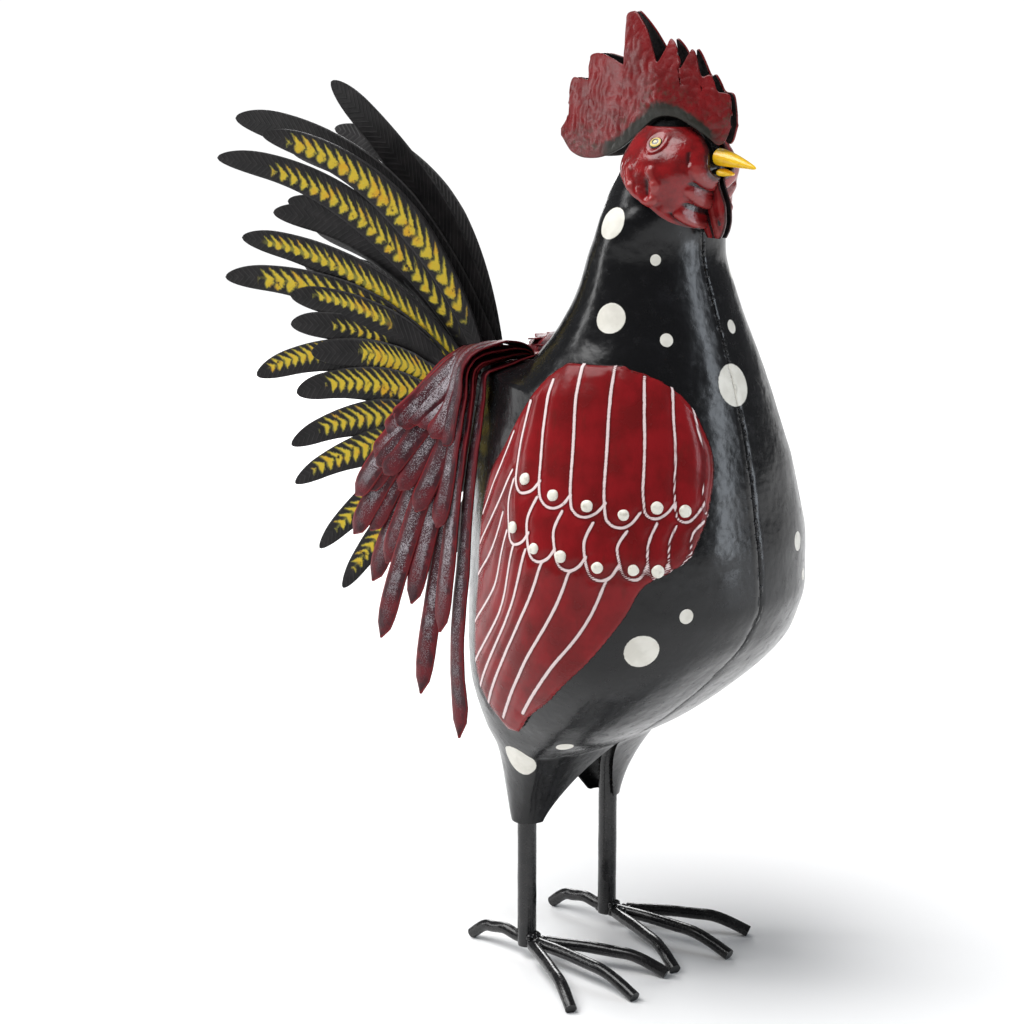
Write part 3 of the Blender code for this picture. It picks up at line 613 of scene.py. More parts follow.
def addBead(beads, side, along, up, size):
    # a flattened drop of paint that lies on the plate
    def surface(forward, higher):
        return wingSurface(side, along + forward, up + higher, 2.0)

    spot = surface(0, 0)
    beside = surface(1.5, 0) - surface(-1.5, 0)
    above = surface(0, 1.5) - surface(0, -1.5)
    outward = beside.cross(above).normalized() * side * -1
    if outward.y * side < 0:
        outward = -outward
    made = bmesh.ops.create_uvsphere(beads, u_segments=20, v_segments=12, radius=1.0)["verts"]
    bmesh.ops.scale(beads, vec=Vector((1, 1, wingSettings["beadHeight"])) * size, verts=made)
    bmesh.ops.rotate(beads, matrix=outward.to_track_quat("Z", "Y").to_matrix(), verts=made)
    bmesh.ops.translate(beads, vec=spot, verts=made)
    for corner in made:
        corner.co += (corner.co - spot) * 0.10 * lumpy(corner.co, 2.4, 5)


wingRed = paintWing()
creamBead = paintBead()
for label, cadLabel, side in sides:
    place, tags = wingMaker(side)
    bentSheet(f"wing{label}", wingSettings["counts"], place, Vector((0, side, 0)), wingSettings["wall"],
              [f"wing_{cadLabel}"], [wingRed], tags)
    beads = bmesh.new()
    dropper = random.Random(11 + side)
    for row in loopsOf(side):
        for *_, beadAlong, beadUp in row:
            if beadAlong and beadAlong <= edgesAt(side, beadUp)[1] - wingSettings["loopGap"]:
                size = wingSettings["beadRadius"] * dropper.uniform(0.9, 1.12) * mm
                addBead(beads, side, beadAlong, beadUp, size)
    finishPiece(pieceFromShape(beads, f"wingBeads{label}"), materials=[creamBead])
print("Wings done")


# Comb: two hammered plates that lean together at their spikes
combSettings = {
    "perPoint": 6, "levels": 52, "wall": 1.0,
    "seam": 0.8, "fall": 0.8,  # half the gap at the crest, and how quickly the plates part below it
    "tuck": 0.25,  # how far the lower rims pull in
    "bumps": 0.5, "bumpSize": 5.5, "waves": 0.35, "waveSize": 14,
}
combLower = ((-2, 431), (4.5, 424), (11.5, 421.5), (18, 421), (27, 422), (36, 425), (43.5, 428.5),
             (53, 435), (65, 443.5), (75, 444.5), (85, 441), (93, 435.5), (98, 432), (101.5, 434.5),
             (104, 441))
combUpper = ((-2.5, 434), (2, 441), (1, 452), (2.5, 459), (8, 459.5), (19, 459), (17, 465), (14, 470),
             (18, 472), (24, 472), (32, 470), (42, 467.5), (43.5, 475), (41, 484), (38.5, 491),
             (42, 493), (45, 492), (52, 484.5), (58, 475), (62, 469.5), (65, 475.5), (66.5, 480.5),
             (71, 476.5), (75, 467), (78, 473), (79.5, 476), (82, 473.5), (86.5, 464), (90.5, 464.5),
             (93, 462), (96, 457), (102.5, 455.5), (104, 446.5))
combTips = ((-2, 456), (5, 461), (18, 473.5), (40, 494), (66.5, 482), (79.5, 477.5), (91, 467),
            (103, 457.5))
combHalves = ((-2, 4), (27, 9), (65, 13), (85, 10), (98, 4), (104, 1.5))  # along, half the spread


def combSpot(u, v):
    foot = throughPoints(combLower, u)
    crest = throughPoints(combUpper, u)
    along = foot[0] + (crest[0] - foot[0]) * v
    up = foot[1] + (crest[1] - foot[1]) * v
    tip = readTable(combTips, along, 1)
    depth = max(tip - up, 0.0) / (tip - foot[1])
    rim = 1 - combSettings["tuck"] * (1 - v) ** 4
    spread = readTable(combHalves, along, 1) * depth ** combSettings["fall"] * rim
    return along, up, combSettings["seam"] + spread


def combPlace(side):
    def place(u, v):
        along, up, out = combSpot(u, v)
        spot = at(along, side * out, up)
        hammered = abs(lumpy(spot, combSettings["bumpSize"], side + 8)) ** 0.8
        inner = smoothStep(v * 9) * smoothStep((1 - v) * 7)
        out += combSettings["bumps"] * (hammered * 1.5 - 0.3) * inner
        out += combSettings["waves"] * lumpy(spot, combSettings["waveSize"], 3) * inner
        return at(along, side * max(out, combSettings["seam"] * 0.6), up)

    return place


def paintComb():
    paint = Paint("combRedPaint", Roughness=0.3, Specular_IOR_Level=0.25, Coat_Weight=0.15,
                  Coat_Roughness=0.12)
    low = paint.tag("low")
    wide = paint.lumps(13, detail=5.0)
    fine = paint.lumps(3, detail=5.0, rough=0.65)
    red = paint.mix(wide.fromTo(0.35, 0.7), (0.185, 0.009, 0.011), (0.115, 0.007, 0.008))
    old = (fine.fromTo(0.47, 0.66) * wide.fromTo(0.38, 0.6)) * low.fromTo(24, 9)
    red = paint.mix(old * 0.75, red, (0.055, 0.030, 0.018))
    # painted highlight: pale pink specks towards the top, standing in for glints on the bumps
    crown = low.fromTo(16, 40) * fine.fromTo(0.42, 0.7)
    red = paint.mix(crown * 0.10, red, (0.34, 0.06, 0.055))
    band = (low + (fine - 0.5) * 7 + (wide - 0.5) * 6).fromTo(8.2, 5.0) * paint.tag("band")
    red = paint.mix(band * 0.96, red, (0.012, 0.018, 0.013))
    specks = paint.lumps(1.6, detail=4.0).fromTo(0.68, 0.74)
    red = paint.mix(specks * 0.8, red, (0.03, 0.01, 0.01))
    rough = 0.26 + fine.fromTo(0.4, 0.8) * 0.25 + band * 0.15
    height = fine * 0.4 + paint.lumps(6, detail=2.0) * 0.6
    return paint.feed(height, 0.5, Base_Color=red, Roughness=rough)


def paintInnerBlack():
    paint = Paint("innerBlackPaint", Roughness=0.45, Specular_IOR_Level=0.2)
    fine = paint.lumps(4, detail=5.0)
    color = paint.mix(fine.fromTo(0.4, 0.7), (0.010, 0.009, 0.010), (0.028, 0.020, 0.020))
    return paint.feed(fine, 0.5, Base_Color=color)


def combTags(u, v):
    along, up, _ = combSpot(u, v)
    foot = throughPoints(combLower, u)
    front = smoothStep((along - 22) / 12) * smoothStep((101 - along) / 8)
    return {"low": math.hypot(along - foot[0], up - foot[1]), "band": front}


combRed = paintComb()
innerBlack = paintInnerBlack()
for label, cadLabel, side in sides:
    counts = ((len(combUpper) - 1) * combSettings["perPoint"], combSettings["levels"])
    bentSheet(f"comb{label}", counts, combPlace(side), Vector((0, side, 0)), combSettings["wall"],
              [f"comb_{cadLabel}"], [combRed, innerBlack], combTags)
print("Comb done")


# Face: a red mask on each cheek with an ear lobe, folds and a wattle
faceSettings = {
    "counts": (110, 120), "wall": 1.0,
    "lift": 2.0, "wattle": 1.6,  # how far the mask stands off the head, and from the middle
    "waves": 0.25, "waveSize": 8, "rimDip": 0.8,
}
faceEdges = (  # up, rear edge, front edge
    (387, 91, 99), (391, 88, 101), (396, 83, 102), (403, 76, 101.5), (408, 68, 99.5),
    (413, 61, 97.5), (418, 56, 96.5), (425, 53, 95), (433, 55, 90.5), (439, 61, 81),
)
faceFolds = (  # raised (or sunk) folds: from along, up, to along, up, how wide and how high
    (76.5, 420, 79.5, 413, 1.7, 1.1), (79.5, 413, 78.5, 406, 1.7, 1.1), (78.5, 406, 74, 404, 1.6, 1.0),
    (74, 404, 72, 411, 1.5, 0.8), (75.5, 415, 75.5, 409, 2.4, -0.8), (63, 420, 66, 412, 2.0, 1.0),
    (66, 412, 69.5, 407, 1.8, 1.1), (60, 424, 57.5, 417, 1.4, 0.6), (69, 425, 77, 425, 3.0, 0.7),
    (93, 421, 98.5, 398, 2.2, 1.3), (91.5, 410, 97, 389, 2.2, 1.4), (87, 399, 92.5, 388, 1.8, 1.2),
    (92, 414, 98, 394, 1.5, -1.6), (88.5, 404, 95, 387, 1.5, -1.6), (84, 400, 89, 390, 1.4, -0.9),
    (89, 428, 96, 406, 1.3, -0.8),
)
eyeSettings = {
    "along": 74.4, "up": 432.6, "radius": 3.36, "height": 0.42,  # the height is a share of the radius
    "lidRadius": 4.4, "lidHalf": 0.9, "lidHeight": 0.9,
}


def foldHeight(along, up):
    total = 0.0
    for a, b, c, d, wide, high in faceFolds:
        run = Vector((c - a, d - b))
        gone = Vector((along - a, up - b))
        share = min(max(gone.dot(run) / run.length_squared, 0.0), 1.0)
        gap = (gone - run * share).length
        if gap < wide * 3:
            total += high * math.exp(-(gap / wide) ** 2)
    return total


def faceSurface(side, along, up, swell=0.0):
    out = max(halfWidth(along, up, faceSettings["lift"] + swell), faceSettings["wattle"])
    return at(along, side * out, up)


def faceSpot(u, v):
    up = faceEdges[0][0] + (faceEdges[-1][0] - faceEdges[0][0]) * v
    rear = readTable(faceEdges, up, 1)
    width = readTable(faceEdges, up, 2) - rear
    return rear + width * u, up, width


def facePlace(side):
    def place(u, v):
        along, up, _ = faceSpot(u, v)
        spot = faceSurface(side, along, up)
        rim = smoothStep(min(u, 1 - u) * 8) * smoothStep(min(v, 1 - v) * 9)
        eye = math.hypot(along - eyeSettings["along"], up - eyeSettings["up"])
        swell = foldHeight(along, up) + faceSettings["waves"] * lumpy(spot, faceSettings["waveSize"], side)
        lid = (eye - eyeSettings["lidRadius"]) / eyeSettings["lidHalf"]
        swell += eyeSettings["lidHeight"] * math.exp(-lid ** 2)
        swell = swell * (0.35 + 0.65 * rim) - faceSettings["rimDip"] * (1 - rim)
        return faceSurface(side, along, up, swell)

    return place


def faceTags(u, v):
    along, up, width = faceSpot(u, v)
    return {"fold": foldHeight(along, up), "rim": min(u, 1 - u) * width}


def paintFace():
    paint = Paint("faceRedPaint", Roughness=0.22, Specular_IOR_Level=0.35, Coat_Weight=0.25,
                  Coat_Roughness=0.08)
    fold = paint.tag("fold")
    rim = paint.tag("rim")
    wide = paint.lumps(9, detail=4.0)
    fine = paint.lumps(2, detail=5.0)
    red = paint.mix(wide.fromTo(0.35, 0.7), (0.25, 0.009, 0.011), (0.13, 0.005, 0.006))
    # painted shade: near black down in the sunk folds
    red = paint.mix(fold.fromTo(-0.25, -0.9) * 0.95, red, (0.010, 0.006, 0.007))
    # painted highlight: pale pink along the raised folds
    red = paint.mix(fold.fromTo(0.5, 1.2) * 0.45, red, (0.40, 0.075, 0.07))
    red = paint.mix((rim + (fine - 0.5) * 1.5).fromTo(1.2, 0.3) * 0.85, red, (0.02, 0.008, 0.008))
    red = paint.mix(fine.fromTo(0.62, 0.75) * 0.5, red, (0.06, 0.01, 0.01))
    rough = 0.18 + wide.fromTo(0.4, 0.8) * 0.15
    return paint.feed(fine * 0.3 + wide, 0.6, Base_Color=red, Roughness=rough)


def paintEye():
    paint = Paint("eyePaint", Roughness=0.18, Coat_Weight=0.6)
    ring = paint.tag("ring")
    color = paint.mix(ring.fromTo(0.2, 0.27), (0.62, 0.50, 0.13), (0.006, 0.006, 0.006))
    color = paint.mix(ring.fromTo(0.50, 0.56), color, (0.78, 0.60, 0.20))
    color = paint.mix(ring.fromTo(0.80, 0.86), color, (0.01, 0.006, 0.006))
    return paint.feed(paint.lumps(1.0), 0.1, Base_Color=color)


def addEye(label, side):
    # a flattened ball that lies on the mask, with its rings counted out from the middle
    eye = bmesh.new()
    ring = eye.verts.layers.float.new("ring")
    bmesh.ops.create_uvsphere(eye, u_segments=40, v_segments=24, radius=1.0)
    for corner in eye.verts:
        corner[ring] = math.hypot(corner.co.x, corner.co.y) if corner.co.z > 0 else 1.0
    size = Vector((1, 1, eyeSettings["height"])) * eyeSettings["radius"] * mm
    bmesh.ops.scale(eye, vec=size, verts=eye.verts)
    along = eyeSettings["along"]
    up = eyeSettings["up"]
    center = faceSurface(side, along, up, 1.0)
    fore = faceSurface(side, along + 3, up, 1.0)
    above = faceSurface(side, along, up + 3, 1.0)
    outward = (fore - center).cross(above - center).normalized()
    if outward.y * side < 0:
        outward = -outward
    bmesh.ops.rotate(eye, matrix=outward.to_track_quat("Z", "Y").to_matrix(), verts=eye.verts)
    bmesh.ops.translate(eye, vec=center, verts=eye.verts)
    finishPiece(pieceFromShape(eye, f"eye{label}"), materials=[eyePaint])


faceRed = paintFace()
eyePaint = paintEye()
for label, cadLabel, side in sides:
    bentSheet(f"face{label}", faceSettings["counts"], facePlace(side), Vector((0, side, 0)),
              faceSettings["wall"], [f"face_{cadLabel}"], [faceRed, innerBlack], faceTags)
    addEye(label, side)
print("Faces done")


# Beak: a hooked upper horn over a short lower one
beakSettings = {
    "mouth": 421.0, "front": 118.0, "gap": 0.3, "start": 1.2, "counts": (48, 44),
    "curve": 1.4,  # the power with which each horn narrows and falls
    "flat": 0.93, "roundFrom": 0.9,  # the closing side is a little flatter
}
beakHorns = (  # name, node, way, half width, half height, reach, drop, tip size
    ("beakUpper", "beak_upper", 1, 5.5, 4.4, 1.0, -4.0, 0.16),
    ("beakLower", "beak_lower", -1, 4.2, 2.0, 0.36, -0.6, 0.30),
)


def paintBeak():
    paint = Paint("beakYellowPaint", Roughness=0.32, Coat_Weight=0.35, Coat_Roughness=0.1)
    wear = paint.lumps(3.5, detail=5.0)
    color = paint.mix(wear.fromTo(0.4, 0.75), (0.93, 0.58, 0.012), (0.80, 0.42, 0.01))
    color = paint.mix(paint.lumps(1.5, detail=4.0).fromTo(0.7, 0.8) * 0.6, color, (0.25, 0.12, 0.01))
    return paint.feed(wear, 0.3, Base_Color=color)


beakYellow = paintBeak()
for name, node, way, wide, deep, reach, drop, tip in beakHorns:
    middleUp = beakSettings["mouth"] + way * (deep + beakSettings["gap"])
    startAlong = bodySection(middleUp)[0] + beakSettings["start"]
    length = (beakSettings["front"] - startAlong) * reach

    def hornPlace(u, v):
        size = 1 - (1 - tip) * v ** beakSettings["curve"]
        past = (v - beakSettings["roundFrom"]) / (1 - beakSettings["roundFrom"])
        if past > 0:
            size *= math.sqrt(max(1 - past ** 2, 0.0)) * 0.95 + 0.05
        turn = 2 * math.pi * u
        flat = beakSettings["flat"] if way * math.sin(turn) < 0 else 1.0
        center = middleUp + drop * v ** beakSettings["curve"]
        return at(startAlong + length * v, wide * math.cos(turn) * size,
                  center + deep * math.sin(turn) * size * flat)

    horn = bentGrid(name, *beakSettings["counts"], hornPlace, closed=True)
    finishPiece(horn, [node], [beakYellow], 60)
print("Beak done")


# Legs and feet: tube and bent rod, welded together
footSettings = {
    "toeRadius": 3.1, "axisUp": 10.0, "legCounts": (40, 90), "toeCounts": (28, 90),
    "lean": 7.0, "leanOver": 26.0, "legTop": 117.7,
    "knuckle": 0.62, "rise": 0.5, "backRise": 1.5, "tipDrop": 0.8,
    "spread": 26.0, "turn": 4.5, "weldSize": 2.1,
}
toes = (  # name, turn from straight, way (0 for the back toe), from, to
    ("middle", 0.0, 1, 5.6, 81.0), ("inner", -1.0, 1, 14.1, 78.0), ("outer", 1.0, 1, 14.1, 78.0),
    ("back", 0.0, 0, 5.6, 40.0),
)


def paintRod():
    paint = Paint("blackRodPaint", Roughness=0.24, Specular_IOR_Level=0.35, Coat_Weight=0.2,
                  Coat_Roughness=0.1)
    wide = paint.lumps(9, detail=4.0)
    fine = paint.lumps(2.2, detail=5.0)
    color = paint.mix(wide.fromTo(0.4, 0.75), (0.009, 0.009, 0.010), (0.022, 0.021, 0.021))
    color = paint.mix(fine.fromTo(0.68, 0.76) * 0.6, color, (0.07, 0.06, 0.055))
    rough = 0.18 + fine.fromTo(0.4, 0.8) * 0.2
    return paint.feed(wide + fine * 0.3, 0.5, Base_Color=color, Roughness=rough)


def level(turn):
    return Vector((math.cos(turn), math.sin(turn), 0))


def toePath(base, turn, start, reach, rise):
    # the middle line of a toe: a low hump to the knuckle, then down to the floor
    low = footSettings["toeRadius"] - footSettings["tipDrop"]
    knuckle = start + (reach - start) * footSettings["knuckle"]

    def center(share):
        out = start - 3 + (reach - start + 3) * share
        hump = rise * math.sin(math.pi * min(max(out - start, 0) / (knuckle - start), 1.0)) ** 2
        fall = max(out - knuckle, 0.0) / (reach - knuckle)
        fall = fall * fall * (1.6 - 0.6 * fall)
        up = footSettings["axisUp"] + hump + (low - footSettings["axisUp"]) * fall
        return base + level(turn) * out * mm + Vector((0, 0, up * mm))

    return center


def addToe(name, node, center, turn):
    def place(u, v):
        spot = center(v)
        run = (center(min(v + 0.02, 1)) - center(max(v - 0.02, 0))).normalized()
        beside = Vector((-math.sin(turn), math.cos(turn), 0))
        around = 2 * math.pi * u
        radius = footSettings["toeRadius"] * mm * (1 + 0.05 * lumpy(spot, 12, 6))
        return spot + (beside * math.cos(around) + run.cross(beside) * math.sin(around)) * radius

    toe = bentGrid(name, *footSettings["toeCounts"], place, closed=True)
    whole = bmesh.new()
    whole.from_mesh(toe.data)
    cut = bmesh.ops.bisect_plane(whole, geom=whole.verts[:] + whole.edges[:] + whole.faces[:],
                                 plane_co=(0, 0, 0), plane_no=(0, 0, -1), clear_outer=True)
    rim = [part for part in cut["geom_cut"] if isinstance(part, bmesh.types.BMEdge)]
    bmesh.ops.contextual_create(whole, geom=rim)  # the flat worn under the tip
    bmesh.ops.recalc_face_normals(whole, faces=whole.faces)
    whole.to_mesh(toe.data)
    whole.free()
    finishPiece(toe, [node], [blackRod], 50)


def addLeg(name, node, base):
    low = footSettings["axisUp"] - footSettings["toeRadius"]
    high = footSettings["legTop"]

    def place(u, v):
        up = low + (high - low) * v
        share = max(up - (high - footSettings["leanOver"]), 0) / footSettings["leanOver"]
        radius = bodySettings["legRadius"] * (1 - 0.04 * math.exp(-((up - low) / 2) ** 2))
        outward = level(2 * math.pi * u)
        lean = Vector((footSettings["lean"] * smoothStep(share), 0, up))
        spot = base + (lean + outward * radius) * mm
        return spot + outward * 0.10 * mm * lumpy(spot, 9, 4)

    leg = bentGrid(name, *footSettings["legCounts"], place, closed=True)
    finishPiece(leg, [node], [blackRod], 50)


def addWelds(name, spots, seed):
    # beads of weld: rough little lumps of metal
    welds = bmesh.new()
    for k, spot in enumerate(spots):
        made = bmesh.ops.create_icosphere(welds, subdivisions=2, radius=1.0)["verts"]
        girth = footSettings["weldSize"] * (0.85 + 0.3 * math.sin(k * 2.4 + seed) ** 2) * mm
        for corner in made:
            corner.co *= girth * (1 + 0.35 * lumpy(corner.co * mm * 4 + spot, 2.0, seed))
            corner.co += spot
    finishPiece(pieceFromShape(welds, name), materials=[blackRod])


blackRod = paintRod()
for label, cadLabel, side in sides:
    base = at(0, side * bodySettings["legOut"], 0)
    straight = side * math.radians(footSettings["turn"])
    addLeg(f"leg{label}", f"leg_{cadLabel}", base)
    weldSpots = []
    for name, share, forward, start, reach in toes:
        turn = straight + side * share * math.radians(footSettings["spread"]) if forward else math.pi
        rise = footSettings["rise"] if forward else footSettings["backRise"]
        addToe(f"toe{label}{name.title()}", f"toe_{cadLabel}_{name}",
               toePath(base, turn, start, reach, rise), turn)
        ring = [(level(turn), out, up) for out, up in ((5.4, 12.6), (6.4, 10.4), (5.6, 8.4))]
        if share:
            between = (level(turn) + level(straight)) / 2
            ring += [(between, 14, 10.5), (between, 10.5, 11.5)]
        weldSpots += [base + (away * out + Vector((0, 0, up))) * mm for away, out, up in ring]
    addWelds(f"footWelds{label}", weldSpots, 2.0 + side)
print("Feet done")


# Tail: a fan of painted feathers on each side and two long plain ones between them
tailSettings = {
    "width": 20.0, "sickleWidth": 24.0, "sheet": 0.8, "gap": 0.3, "camber": 0.4,
    "rootTop": 309.0, "rootStep": 5.2, "rootOut": 5.0, "flare": 0.11,
    "hinge": (-52.0, 318.0), "sickleRoot": 313.0,
    "counts": (12, 96), "sickleCounts": (14, 120), "sickleTaper": 0.4,
    "ribSpacing": 3.2, "curl": 0.5, "curlSize": 38,
}
tailFeathers = (  # tip along, tip up, bend, layer, taper, then the brushed strokes: from and to as shares,
    # middle line, upper and lower reach as shares of the half width, solid core, spacing, thickness
    (-203, 421, 66, 1, 0.42, 0.08, 0.93, -0.05, 0.85, 0.75, 0.00, 6.6, 0.90),
    (-240, 406, 60, 0, 0.42, 0.08, 0.84, -0.15, 0.70, 0.60, 0.00, 6.2, 0.78),
    (-221, 363, 42, 2, 0.42, 0.04, 0.93, -0.05, 0.75, 0.45, 0.26, 5.2, 0.85),
    (-233, 340, 44, 3, 0.42, 0.04, 0.88, 0.00, 0.85, 0.85, 0.08, 6.4, 0.92),
    (-209, 287, 50, 4, 0.42, 0.25, 0.96, 0.20, 0.75, 0.60, 0.10, 4.6, 0.85),
    (-167, 304, 42, 5, 0.42, 0.05, 0.72, 0.25, 0.70, 0.80, 0.24, 3.6, 0.90),
    (-176, 281, 44, 6, 0.42, 0.05, 0.84, 0.10, 0.80, 0.65, 0.00, 4.8, 0.85),
    (-178, 252, 42, 7, 0.55, 0.05, 0.84, 0.10, 0.80, 0.65, 0.00, 5.0, 0.76),
    (-171, 232, 36, 9, 0.60, 0.05, 0.90, 0.15, 0.80, 0.75, 0.00, 5.2, 0.80),
    (-153, 198, 32, 8, 0.60, 0.05, 0.88, 0.05, 0.75, 0.65, 0.15, 4.8, 0.80),
    (-131, 180, 28, 10, 0.60, 0.05, 0.90, 0.05, 0.75, 0.65, 0.15, 4.8, 0.78),
)
plain = (2, 3, 0, 1, 1, 0, 6, 0)  # strokes that lie past the tip, so none show
tailExtras = (  # unpainted ones and short ones that show between the others: root number, then as above
    (0.5, -201, 378, 58, -0.9, 0.42, *plain), (1.5, -190, 385, 60, -0.8, 0.42, *plain),
    (4.4, -184, 334, 46, 3.45, 0.42, 0.45, 0.9, 0.25, 0.6, 0.4, 0.25, 4.4, 0.8),
    (4.8, -184, 318, 46, 3.55, 0.42, 0.45, 0.8, 0.1, 0.5, 0.4, 0.0, 4.8, 0.6),
)
sickles = (  # name, tip along, tip up, bend, side, how far out
    ("Tall", -181, 449, 31, 1, 4.0), ("Long", -251, 426, 56, -1, 4.0),
)


def featherHalf(share, width, taper=0.0, roundFrom=0.84):
    # half the width of a feather at a share of its length
    root = 0.34 + 0.66 * min(share / 0.4, 1.0) ** 0.8
    narrowing = 1 - taper * max(2 * share - 1, 0)
    tip = 1.0
    if share > roundFrom:
        past = min((share - roundFrom) / (1 - roundFrom), 1.0)
        tip = max((1 - past ** 2.4) ** 0.55, 0.02)
    return width / 2 * root * narrowing * tip


def tailRoot(out, up, tip, bend, width):
    # just clear of the back of the body, at this distance from the middle
    _, back, widest, half, power, _ = bodySection(up)
    share = min(out / half, 0.95)
    along = widest - (widest - back) * (1 - share ** power) ** (1 / power) - tailSettings["gap"]
    first = math.atan2(tip.y - up, tip.x - along) - bend / 2
    return Vector((along - featherHalf(0.0, width) * abs(math.sin(first)) - 2 * tailSettings["gap"], up))


def featherPlace(root, tip, bend, width, taper, outAt, side, seed, crown):
    # a feather along an arc that lies in a plane beside the body; outAt gives its distance out
    chord = tip - root
    up = Vector((chord.y, -chord.x)).normalized()
    if up.y < 0:
        up = -up
    lead = root + chord / 2 + up * chord.length / 2 * math.tan(bend / 2)

    def share(w):
        return math.sin(math.pi / 2 * w) * 0.45 + w * 0.55

    def place(u, w):
        v = share(w)
        line = root * (1 - v) ** 2 + lead * 2 * v * (1 - v) + tip * v * v
        run = (lead - root) * (1 - v) + (tip - lead) * v
        across = Vector((run.y, -run.x)).normalized()
        beside = 2 * u - 1
        half = featherHalf(v, width, taper)
        spot = line + across * half * beside
        bow = min(v / 0.3, 1.0) * (1 - beside * beside) * half / (width / 2)
        out = outAt(spot.x, spot.y, v) + crown * bow
        out += tailSettings["curl"] * lumpy(at(spot.x, side * 5, spot.y), tailSettings["curlSize"], seed) * v
        return at(spot.x, side * out, spot.y)

    length = ((lead - root).length + (tip - lead).length) * 0.5 + chord.length * 0.25
    return place, share, length


def featherTags(share, length, width, taper, paint):
    # phase counts the strokes along a feather, duty and solid say how wide the paint is
    start, end, middle, upper, lower, core, spacing, thick = paint

    def tags(u, w):
        v = share(w)
        beside = 2 * u - 1
        half = featherHalf(v, width, taper)
        off = (beside - middle) * half
        lean = 1.1 * max(off, 0) + 0.35 * max(-off, 0)
        reach = upper if off > 0 else lower
        near = min(abs(beside - middle) / reach, 1.2)
        duty = thick * (1 - near) ** 0.75 if near < 1 and off > 0 else thick * max(1 - near ** 3, 0.0)
        fade = smoothStep((v - start) / 0.10) * smoothStep((end - v) / 0.06)
        solid = smoothStep((core - abs(beside - middle)) / 0.12) if core else 0.0
        return {
            "phase": (v * length - lean) / spacing,
            "duty": duty * fade,
            "solid": solid * fade,
            "rib": (v * length - 0.9 * abs(beside) * half) / tailSettings["ribSpacing"],
        }

    return tags


def ridgeOf(phase, sharp):
    # a raised line at every whole number
    return (1 - (phase.math("FRACT") - 0.5).math("ABSOLUTE") * 2 * sharp).most(0.0)


def paintFeather():
    paint = Paint("blackFeatherPaint", Roughness=0.42, Specular_IOR_Level=0.14)
    fine = paint.lumps(1.1, detail=3.0)
    wide = paint.lumps(9, detail=4.0)
    streak = paint.lumps(2.2, detail=4.0)
    wave = ((paint.tag("phase") + (streak - 0.5) * 0.5).math("FRACT") * 2 - 1).math("ABSOLUTE")
    duty = paint.tag("duty") * (0.75 + wide * 0.5)
    stroke = (duty + (fine - 0.5) * 0.5 - wave).fromTo(-0.28, 0.32)
    stroke = stroke.most(paint.tag("solid") * (fine * 0.6 + 0.6).least(1.0))
    stroke = stroke * duty.fromTo(0.02, 0.12).most(paint.tag("solid"))
    stroke = stroke * paint.lumps(5, detail=5.0).fromTo(0.28, 0.42)
    rib = ridgeOf(paint.tag("rib"), 2.6)
    black = paint.mix(wide.fromTo(0.35, 0.7), (0.0065, 0.006, 0.0065), (0.014, 0.0125, 0.013))
    # lighter ribs in patches: partly wear, partly painted highlight along the ribs
    worn = rib * 0.35 * paint.lumps(14, detail=3.0).fromTo(0.42, 0.65)
    black = paint.mix(worn, black, (0.032, 0.031, 0.031))
    full = (duty - wave).fromTo(0.0, 0.4)
    yellow = paint.mix(full, (0.22, 0.21, 0.04), (0.55, 0.40, 0.03))
    yellow = paint.mix(wide.fromTo(0.5, 0.7) * 0.6, yellow, (0.60, 0.27, 0.012))
    yellow = paint.mix(streak.fromTo(0.58, 0.72) * 0.35, yellow, (0.42, 0.45, 0.10))
    color = paint.mix(stroke * 0.97, black, yellow)
    rough = 0.36 + fine * 0.15 + stroke * 0.15
    height = rib * 0.22 + stroke * 0.25 + wide * 0.6
    return paint.feed(height, 0.5, Base_Color=color, Roughness=rough)


def paintCharcoal():
    paint = Paint("charcoalFeatherPaint", Roughness=0.42, Specular_IOR_Level=0.2)
    wide = paint.lumps(11, detail=5.0)
    rib = ridgeOf(paint.tag("rib"), 1.7)
    color = paint.mix(wide.fromTo(0.3, 0.7), (0.018, 0.017, 0.018), (0.036, 0.034, 0.035))
    # painted highlight along the ribs
    color = paint.mix(rib * 0.4, color, (0.09, 0.087, 0.087))
    return paint.feed(rib * 0.4 + wide * 0.4, 0.5, Base_Color=color)


def addFeather(name, nodes, arc, width, taper, outAt, side, seed, crown, counts, paint, materials):
    place, share, length = featherPlace(*arc, width, taper, outAt, side, seed, crown)
    tags = featherTags(share, length, width, taper, paint)
    bentSheet(name, counts, place, Vector((0, side, 0)), tailSettings["sheet"],
              nodes, materials, tags)


featherBlack = paintFeather()
charcoal = paintCharcoal()
hinge = tailSettings["hinge"]
pitch = 1.15 * tailSettings["sheet"] + tailSettings["gap"] + tailSettings["camber"]
for label, cadLabel, side in sides:
    rows = [(i, *feather) for i, feather in enumerate(tailFeathers)] + list(tailExtras)
    for i, (number, tipAlong, tipUp, bend, layer, taper, *strokes) in enumerate(rows):
        base = tailSettings["rootOut"] + layer * pitch
        tip = Vector((tipAlong, tipUp))
        width = tailSettings["width"]

        def flaredOut(along, up, share):
            return base + tailSettings["flare"] * math.hypot(along - hinge[0], up - hinge[1])

        root = tailRoot(base + pitch, tailSettings["rootTop"] - tailSettings["rootStep"] * number, tip,
                        math.radians(bend), width)
        nodes = [f"tail_{cadLabel}_{i + 1:02d}"] if i < len(tailFeathers) else []
        addFeather(f"tail{label}{i + 1:02d}", nodes, (root, tip, math.radians(bend)), width, taper, flaredOut,
                   side, i, tailSettings["camber"], tailSettings["counts"], strokes, [featherBlack, charcoal])

